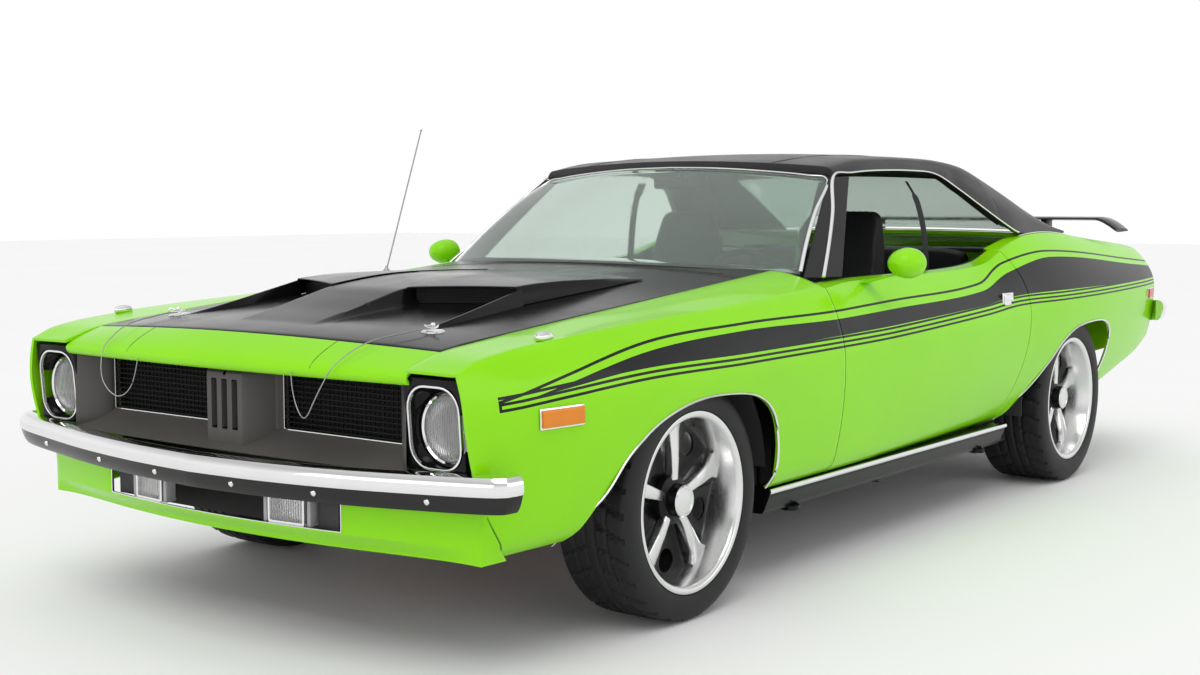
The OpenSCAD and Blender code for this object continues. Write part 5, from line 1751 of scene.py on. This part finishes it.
@dataclass
class Wheel:
    """One wheel: a tyre with a directional tread and a five-spoke rim."""

    name: str
    centre_y: float
    centre_z: float
    face: float
    tyre_r: float
    tyre_w: float
    rim_w: float
    rim_r: float = 243.0

    def _polar(self, radius: float, angle: float, x: float) -> Point:
        """Point of the left wheel at a radius, an angle and a place along its axle."""
        return x, self.centre_y + radius * math.cos(angle), self.centre_z + radius * math.sin(angle)

    def tyre(self) -> Piece:
        """The tyre, its tread grooves pressed into its crown."""
        outer, w, high = self.face + 4, self.tyre_w, self.tyre_r
        half = [(247.5, -9), (251, -4), (262, -0.6), (280, 0), (high - 30, -1), (high - 17, -5),
                (high - 9, -10),
                (high - 4, -16)]
        left = [(radius, -x) for radius, x in half]
        crown = [(high - 2.6 * (2 * k / 26 - 1) ** 4, mix(20, w - 20, k / 26)) for k in range(27)]
        inner = [(radius, w - x) for radius, x in reversed(left)]
        profile = left + crown + inner
        profile += [(247.5, mix(w - 9, 9, k / 3)) for k in range(1, 3)]
        around, pitch = 300, 10

        def ring(u: float) -> list[Point]:
            """One ring of the sweep."""
            a = TAU * u
            points = []
            for radius, x in profile:
                depth = 0.0
                if radius > high - 6:
                    s = (x - w / 2) / (w / 2)
                    phase = (u * around / pitch - 0.9 * abs(s)) % 1.0
                    band = min(abs(abs(s) - 0.12), abs(abs(s) - 0.42))
                    if band < 0.035 or (phase < 0.2 and abs(s) > 0.14):
                        depth = 6.5
                points.append(self._polar(radius - depth, a, outer - x))
            return points

        return sweep(f"{self.name}_rubber", around, ring, closed=True, angle=32)

    def rim(self) -> list[Piece]:
        """The rim's barrel and lip, spokes, pockets, hub and nuts, and its black parts."""
        face, high = self.face, self.rim_r
        back = face - self.rim_w
        centre = (0, self.centre_y, self.centre_z)
        barrel = lathe("barrel", [(high, face - 6), (high + 4, face - 1), (high + 2, face),
                                  (high - 7, face - 1),
                                  (high - 12, face - 5), (high - 16, face - 12), (high - 21, face - 60),
                                  (high - 25, face - 70), (high - 27, face - 104), (high - 30, face - 110),
                                  (high - 30, back + 12), (high - 10, back + 4), (high, back),
                                  (high + 3, back + 2),
                                  (high - 4, back + 14), (high - 22, back + 20), (high - 22, face - 118),
                                  (high - 8, face - 30), (high, face - 14), (high, face - 6)], centre, LEFT,
                       96)
        bright, dark = [barrel], []
        for k in range(5):
            a0 = math.pi / 2 + TAU * k / 5

            def spoke(u: float) -> list[Point]:
                """Section of a spoke."""
                radius = mix(56, high - 22, u)
                half = mix(12.5, 26, u) + 20 * clamp((u - 0.74) / 0.26) ** 2
                top = mix(face - 62, face - 68, u) + 3 * math.sin(math.pi * u)
                outline = ((-1, -34), (-1, -7), (-0.93, -2), (-0.8, 0), (-0.4, 1.4), (0, 2), (0.4, 1.4),
                           (0.8, 0), (0.93, -2), (1, -7), (1, -34))
                return [self._polar(math.hypot(radius, half * s), a0 + math.atan2(half * s, radius), top + d)
                        for s, d in outline]

            bright.append(sweep("spoke", 18, spoke, angle=30))
            a1 = a0 + TAU / 10

            def pocket(u: float, v: float) -> Point:
                """Point of a pocket."""
                radius = mix(66, high - 26, u)
                a = a1 + mix(-1, 1, v) * math.radians(mix(21, 22, u))
                return self._polar(radius, a, face - 96 + 10 * (2 * v - 1) ** 2)

            plate = panel_of("pocket", 12, 12, pocket, 6, 1)
            hole = lathe("hole", [(0.1, -30), (30, -30), (36, 30), (0.1, 30)],
                         self._polar(high - 72, a1, face - 98), LEFT, 28)
            cut(plate, hole)
            dark.append(plate)
            nut = self._polar(57, a1, face - 84)
            bright.append(lathe("nut", [(0.1, 16), (5, 15), (8, 11), (9.5, 8), (9.5, -8)], nut, LEFT, 6))
        dark.append(lathe("hub", [(0.1, -100), (70, -100), (70, -80), (68, -70), (46, -62), (44, -34),
                                  (0.1, -34)],
                          (face, self.centre_y, self.centre_z), LEFT, 48))
        bright.append(lathe("cap", [(36, -60), (43, -56), (44, -34), (41, -30), (36, -29), (33, -31),
                                    (30, -30.5),
                                    (10, -28.6), (0.1, -28)], (face, self.centre_y, self.centre_z), LEFT, 48))
        return [join(f"{self.name}_alloy", bright), join(f"{self.name}_pockets", dark)]

    def build(self, axle: str) -> None:
        """Makes the wheel and its twin on the other side."""
        tyre = self.tyre()
        alloy, pockets = self.rim()
        for side, pieces in (("left", (tyre, alloy, pockets)),
                             ("right", [other_side(p, p.name.replace("left", "right"))
                                        for p in (tyre, alloy, pockets)])):
            body = f"wheel_{axle}_{side}"
            put(pieces[0], "rubber", body, "tyre", f"tyre_{axle}_{side}")
            put(pieces[1], "polish", body, "polished_alloy", f"rim_{axle}_{side}")
            put(pieces[2], "satin", body, "polished_alloy")


@dataclass
class Wheels:
    """All four wheels."""

    def build(self) -> None:
        """Makes the front and the rear pair."""
        Wheel("front_left", f(0), FRONT_R, 889, FRONT_R, 235, 227).build("front")
        Wheel("rear_left", r(0), REAR_R, 904, REAR_R, 275, 267).build("rear")


# ---------- cabin and underside ----------


@dataclass
class Cabin:
    """Seats, dashboard, steering wheel, belts and inside mirror."""

    fill: float = 0.8
    bench: float = 1116
    seat_x: float = 365

    def _pad(self, name: str, profile: Sequence[tuple[float, float]], middle: float, width: float,
             pleats: int,
             taper: float = 0.0) -> Piece:
        """A crowned cushion swept across the car.

        Args:
            name: The piece's name.
            profile: Its side outline as (y, z) pairs.
            middle: x of its middle.
            width: Its width.
            pleats: Number of sewn channels, or 0.
            taper: How far its far end narrows, as a share.

        Returns:
            The new object.
        """
        closed = list(profile) + [profile[0]]
        outline = []
        for a, b in zip(closed, closed[1:]):
            outline += [(mix(a[0], b[0], t), mix(a[1], b[1], t)) for t in (0.06, 0.25, 0.5, 0.75, 0.94)]
        cy = sum(p[0] for p in outline) / len(outline)
        cz = sum(p[1] for p in outline) / len(outline)
        reach = max(p[1] for p in outline) - min(p[1] for p in outline)
        low = min(p[1] for p in outline)

        def ring(u: float) -> list[Point]:
            """One ring of the sweep."""
            s = 2 * u - 1
            shrink = 1 - 0.16 * abs(s) ** 7 - 0.5 * clamp((abs(s) - 0.93) / 0.07) ** 2
            fold = 0.0
            if pleats and abs(s) < 0.62:
                fold = 3.5 * abs(math.cos(math.pi * pleats * (s + 0.62) / 1.24)) ** 0.5 - 3.5
            points = []
            for y, z in outline:
                narrow = 1 - taper * clamp((z - low) / reach)
                grow = 1 + fold / 220
                points.append((middle + s * width / 2 * narrow, cy + (y - cy) * shrink * grow,
                               cz + (z - cz) * shrink * grow))
            return points

        piece = sweep(name, 48, ring, angle=80)
        finish_modifier(piece, "SUBSURF", levels=1, render_levels=1)
        smooth(piece, 180)
        return piece

    def _soft(self, piece: Piece, *nodes: str) -> None:
        put(piece, "hide", "root", "seat_vinyl", *nodes)

    def _seats(self) -> None:
        """Two bucket seats and the rear bench."""
        cushion = [(f(1180), 305), (f(1182), 420), (f(1225), 464), (f(1430), 440), (f(1648), 430),
                   (f(1676), 305)]
        back = [(f(1655), 385), (f(1660), 470), (f(1728), 735), (f(1790), 1000), (f(1830), 1094),
                (f(1878), 1098),
                (f(1888), 1000), (f(1840), 690), (f(1788), 385)]
        bench = [(r(-568), 376), (r(-568), 430), (r(-530), 463), (r(-330), 437), (r(-300), 420),
                 (r(-300), 376)]
        rest = [(r(-345), 432), (r(-272), 684), (r(-200), 933), (r(-120), 946), (r(-108), 920),
                (r(-185), 670),
                (r(-288), 438)]
        for side, name in ((1, "left"), (-1, "right")):
            base = self._pad(f"seat_cushion_{name}", cushion, side * self.seat_x, 420, 6)
            self._soft(base, *(("bucket_seats",) if side > 0 else ()))
            self._soft(self._pad(f"seat_back_{name}", back, side * self.seat_x, 366, 6, 0.28))
        self._soft(self._pad("bench_cushion", bench, 0, self.bench, 14), "rear_seat")
        self._soft(self._pad("bench_back", rest, 0, self.bench, 14, 0.04))

    def _dash(self) -> None:
        """Dashboard with its gauges, vents and glove box."""
        outline = [(f(640), 640), (f(860), 600), (f(1000), 636), (f(1026), 700), (f(1022), 740),
                   (f(985), 800),
                   (f(960), 840), (f(900), 868), (f(760), 878), (f(640), 878)]
        dash = sweep("dash_pad", 30, lambda u: [(mix(-699, 699, u), y, z) for y, z in outline])
        finish_modifier(dash, "BEVEL", width=0.008, segments=3, limit_method="ANGLE", angle_limit=0.5)
        smooth(dash, 40)
        put(dash, "black", "root", "trim", "dashboard")
        face = (0, 0.8, 0.45)
        parts = [lathe("gauge", [(0.1, 2), (38, 2), (40, 8), (44, 9), (46, 4), (46, -8)],
                       (self.seat_x + dx, f(1003), 776), face, 32)
                 for dx in (-150, -50, 50, 150)]
        parts += [block("vent", (x - 55, f(1020), 708), (x + 55, f(1032), 738), 4) for x in (0, 600, -600)]
        parts.append(block("glove_box", (-560, f(1016), 660), (-180, f(1029), 730), 6))
        put(join("dash_fittings", parts), "chrome", "root", "trim")

    def _wheel(self) -> None:
        """Steering wheel and column."""
        centre = Vector((self.seat_x, f(1165), 790))
        lean = math.radians(24)
        axle = Vector((0, -math.cos(lean), -math.sin(lean)))
        up = Vector((0, -math.sin(lean), math.cos(lean)))
        side = Vector(LEFT)

        def grip(u: float) -> list[Point]:
            """Section of the grip."""
            a = TAU * u
            out = side * math.cos(a) + up * math.sin(a)
            return [tuple(centre + out * (185 + 13 * math.cos(b)) + axle * 13 * math.sin(b))
                    for b in (TAU * k / 14 for k in range(14))]

        rim = sweep("grip", 72, grip, closed=True)
        boss = lathe("boss", [(0.1, -22), (34, -18), (46, -4), (48, 20), (30, 40), (22, 150)], tuple(centre),
                     tuple(axle), 36)
        put(join("steering_grip", [rim, boss]), "black", "root", "trim", "steering_wheel")
        arms = []
        for a in (math.pi * 0.02, math.pi * 0.98, math.pi * 1.5):
            out = side * math.cos(a) + up * math.sin(a)
            arms.append(tube("arm", [tuple(centre + out * 40 + axle * 14),
                                     tuple(centre + out * 110 + axle * 6),
                                     tuple(centre + out * 178)], 13, 10, 6, 0.25))
        put(join("steering_arms", arms), "steel", "root", "trim")

    def _belts(self) -> None:
        """Belts that hang from the roof rails to the sills, and the inside mirror."""
        route = [(596, f(1840), 1206), (640, f(1850), 1120), (668, f(1860), 960), (676, f(1850), 700),
                 (668, f(1830), 480), (650, f(1800), 345)]
        left = tube("belt_left", route, 22, 8, 8, 0.07)
        pair(left, "belt", "root", "trim")
        glass = block("mirror_head", (-115, f(1232), 1176), (115, f(1252), 1222), 9)
        stem = tube("mirror_stem", [(0, f(1236), 1216), (0, f(1205), 1236), (0, f(1188), 1250)], 6, 10, 4)
        FINISHES.dress(glass, "black")
        FINISHES.part(glass, "chrome", lambda c, n: n.y > 0.95)
        FINISHES.dress(stem, "steel")
        put(join("inside_mirror", [glass, stem]), "", "root", "trim")

    def build(self) -> None:
        """Makes the cabin."""
        self._seats()
        self._dash()
        self._wheel()
        self._belts()


@dataclass
class Underside:
    """The finishes of the CAD's own pieces that stay in sight."""

    finishes: dict[str, str] = field(default_factory=lambda: {
        "floor_pan": "carpet", "rocker_sills": "satin", "engine_bay": "black", "radiator": "black",
        "engine_block": "engine", "chassis_rails": "cast", "wheel_wells": "cast", "rear_axle": "cast",
        "leaf_springs": "cast", "exhaust": "steel", "fuel_tank": "steel", "parcel_shelf": "vinyl",
        "quarter_trim": "vinyl", "tail_panel": "paint", "knuckle_left": "steel", "knuckle_right": "steel"})

    def build(self) -> None:
        """Gives each node its finish, in the slots that it has."""
        for node, finish in self.finishes.items():
            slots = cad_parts[node].data.materials
            for index in range(len(slots)):
                slots[index] = FINISHES.made[finish]
            LOG.info("%s: %s", node, finish)


# ---------- studio ----------


@dataclass
class Studio:
    """Pale floor, soft lights and the camera."""

    eye: Point = (3195.7, -4955.0, 1123.6)
    heading: float = 37.005
    dip: float = -4.856
    lens: float = 47.145

    def _area(self, name: str, place: Point, aim: Point, size: tuple[float, float], power: float) -> None:
        """One soft box.

        Args:
            name: Its name.
            place: Where it hangs, in metres.
            aim: What it points at.
            size: Its width and height.
            power: Its power in watts.
        """
        deselect()
        bpy.ops.object.light_add(type="AREA", location=place)
        light = bpy.context.object
        light.name = name
        light.data.shape = "RECTANGLE"
        light.data.size, light.data.size_y = size
        light.data.energy = power
        light.rotation_euler = (Vector(aim) - Vector(place)).to_track_quat("-Z", "Y").to_euler()

    def camera(self) -> None:
        """Sets the camera."""
        deselect()
        bpy.ops.object.camera_add(location=Vector(self.eye) * MM)
        camera = bpy.context.object
        camera.rotation_euler = Euler((math.radians(90 + self.dip), 0, math.radians(self.heading)))
        camera.data.lens = self.lens
        camera.data.clip_end = 200
        bpy.context.scene.camera = camera

    def build(self) -> None:
        """Makes the floor, the lights and the surroundings."""
        deselect()
        bpy.ops.mesh.primitive_grid_add(x_subdivisions=8, y_subdivisions=8, size=80)
        floor = bpy.context.object
        floor.name = "floor"
        shop = Shop("floor_paper")
        cloud = shop.noise(0.4, 2)
        tone = shop.blend(cloud, grey(0.86), grey(0.90))
        floor.data.materials.append(shop.finish(Base_Color=tone, Roughness=0.7))
        deselect()
        bpy.ops.object.light_add(type="SUN", rotation=(math.radians(28), math.radians(14), 0))
        bpy.context.object.data.energy = 0.9
        bpy.context.object.data.angle = math.radians(40)
        self._area("side_light", (7.5, 1.0, 3.2), (0, 0, 0.6), (8, 2.2), 45)
        self._area("nose_light", (-1.0, -8.5, 3.0), (0, -2, 0.6), (6, 2), 30)
        world = bpy.data.worlds.new("studio")
        world.use_nodes = True
        bpy.context.scene.world = world
        nodes, links = world.node_tree.nodes, world.node_tree.links
        place = nodes.new("ShaderNodeTexCoord")
        split = nodes.new("ShaderNodeSeparateXYZ")
        ramp = nodes.new("ShaderNodeValToRGB")
        for element, (at, level) in zip(
                [*ramp.color_ramp.elements, ramp.color_ramp.elements.new(0.2),
                 ramp.color_ramp.elements.new(0.5)],
                ((0.0, 1.0), (1.0, 0.55), (0.24, 1.0), (0.55, 0.6))):
            element.position, element.color = at, grey(level)
        links.new(place.outputs["Generated"], split.inputs[0])
        links.new(split.outputs["Z"], ramp.inputs[0])
        links.new(ramp.outputs[0], nodes["Background"].inputs["Color"])
        nodes["Background"].inputs["Strength"].default_value = 1.0
        bpy.context.scene.view_settings.view_transform = "Standard"


def main() -> None:
    """Builds the car's looks in order."""
    logging.basicConfig(level=logging.INFO, format="%(name)s: %(message)s")
    FINISHES.build()
    studio = Studio()
    studio.camera()
    for section in (Lanyards(), SidePanels(), Lids(), Roof(), SideTrim(), Nose(), Tail(), Wheels(), Cabin(),
                    Underside()):
        section.build()
    studio.build()


if __name__ == "__main__":
    main()
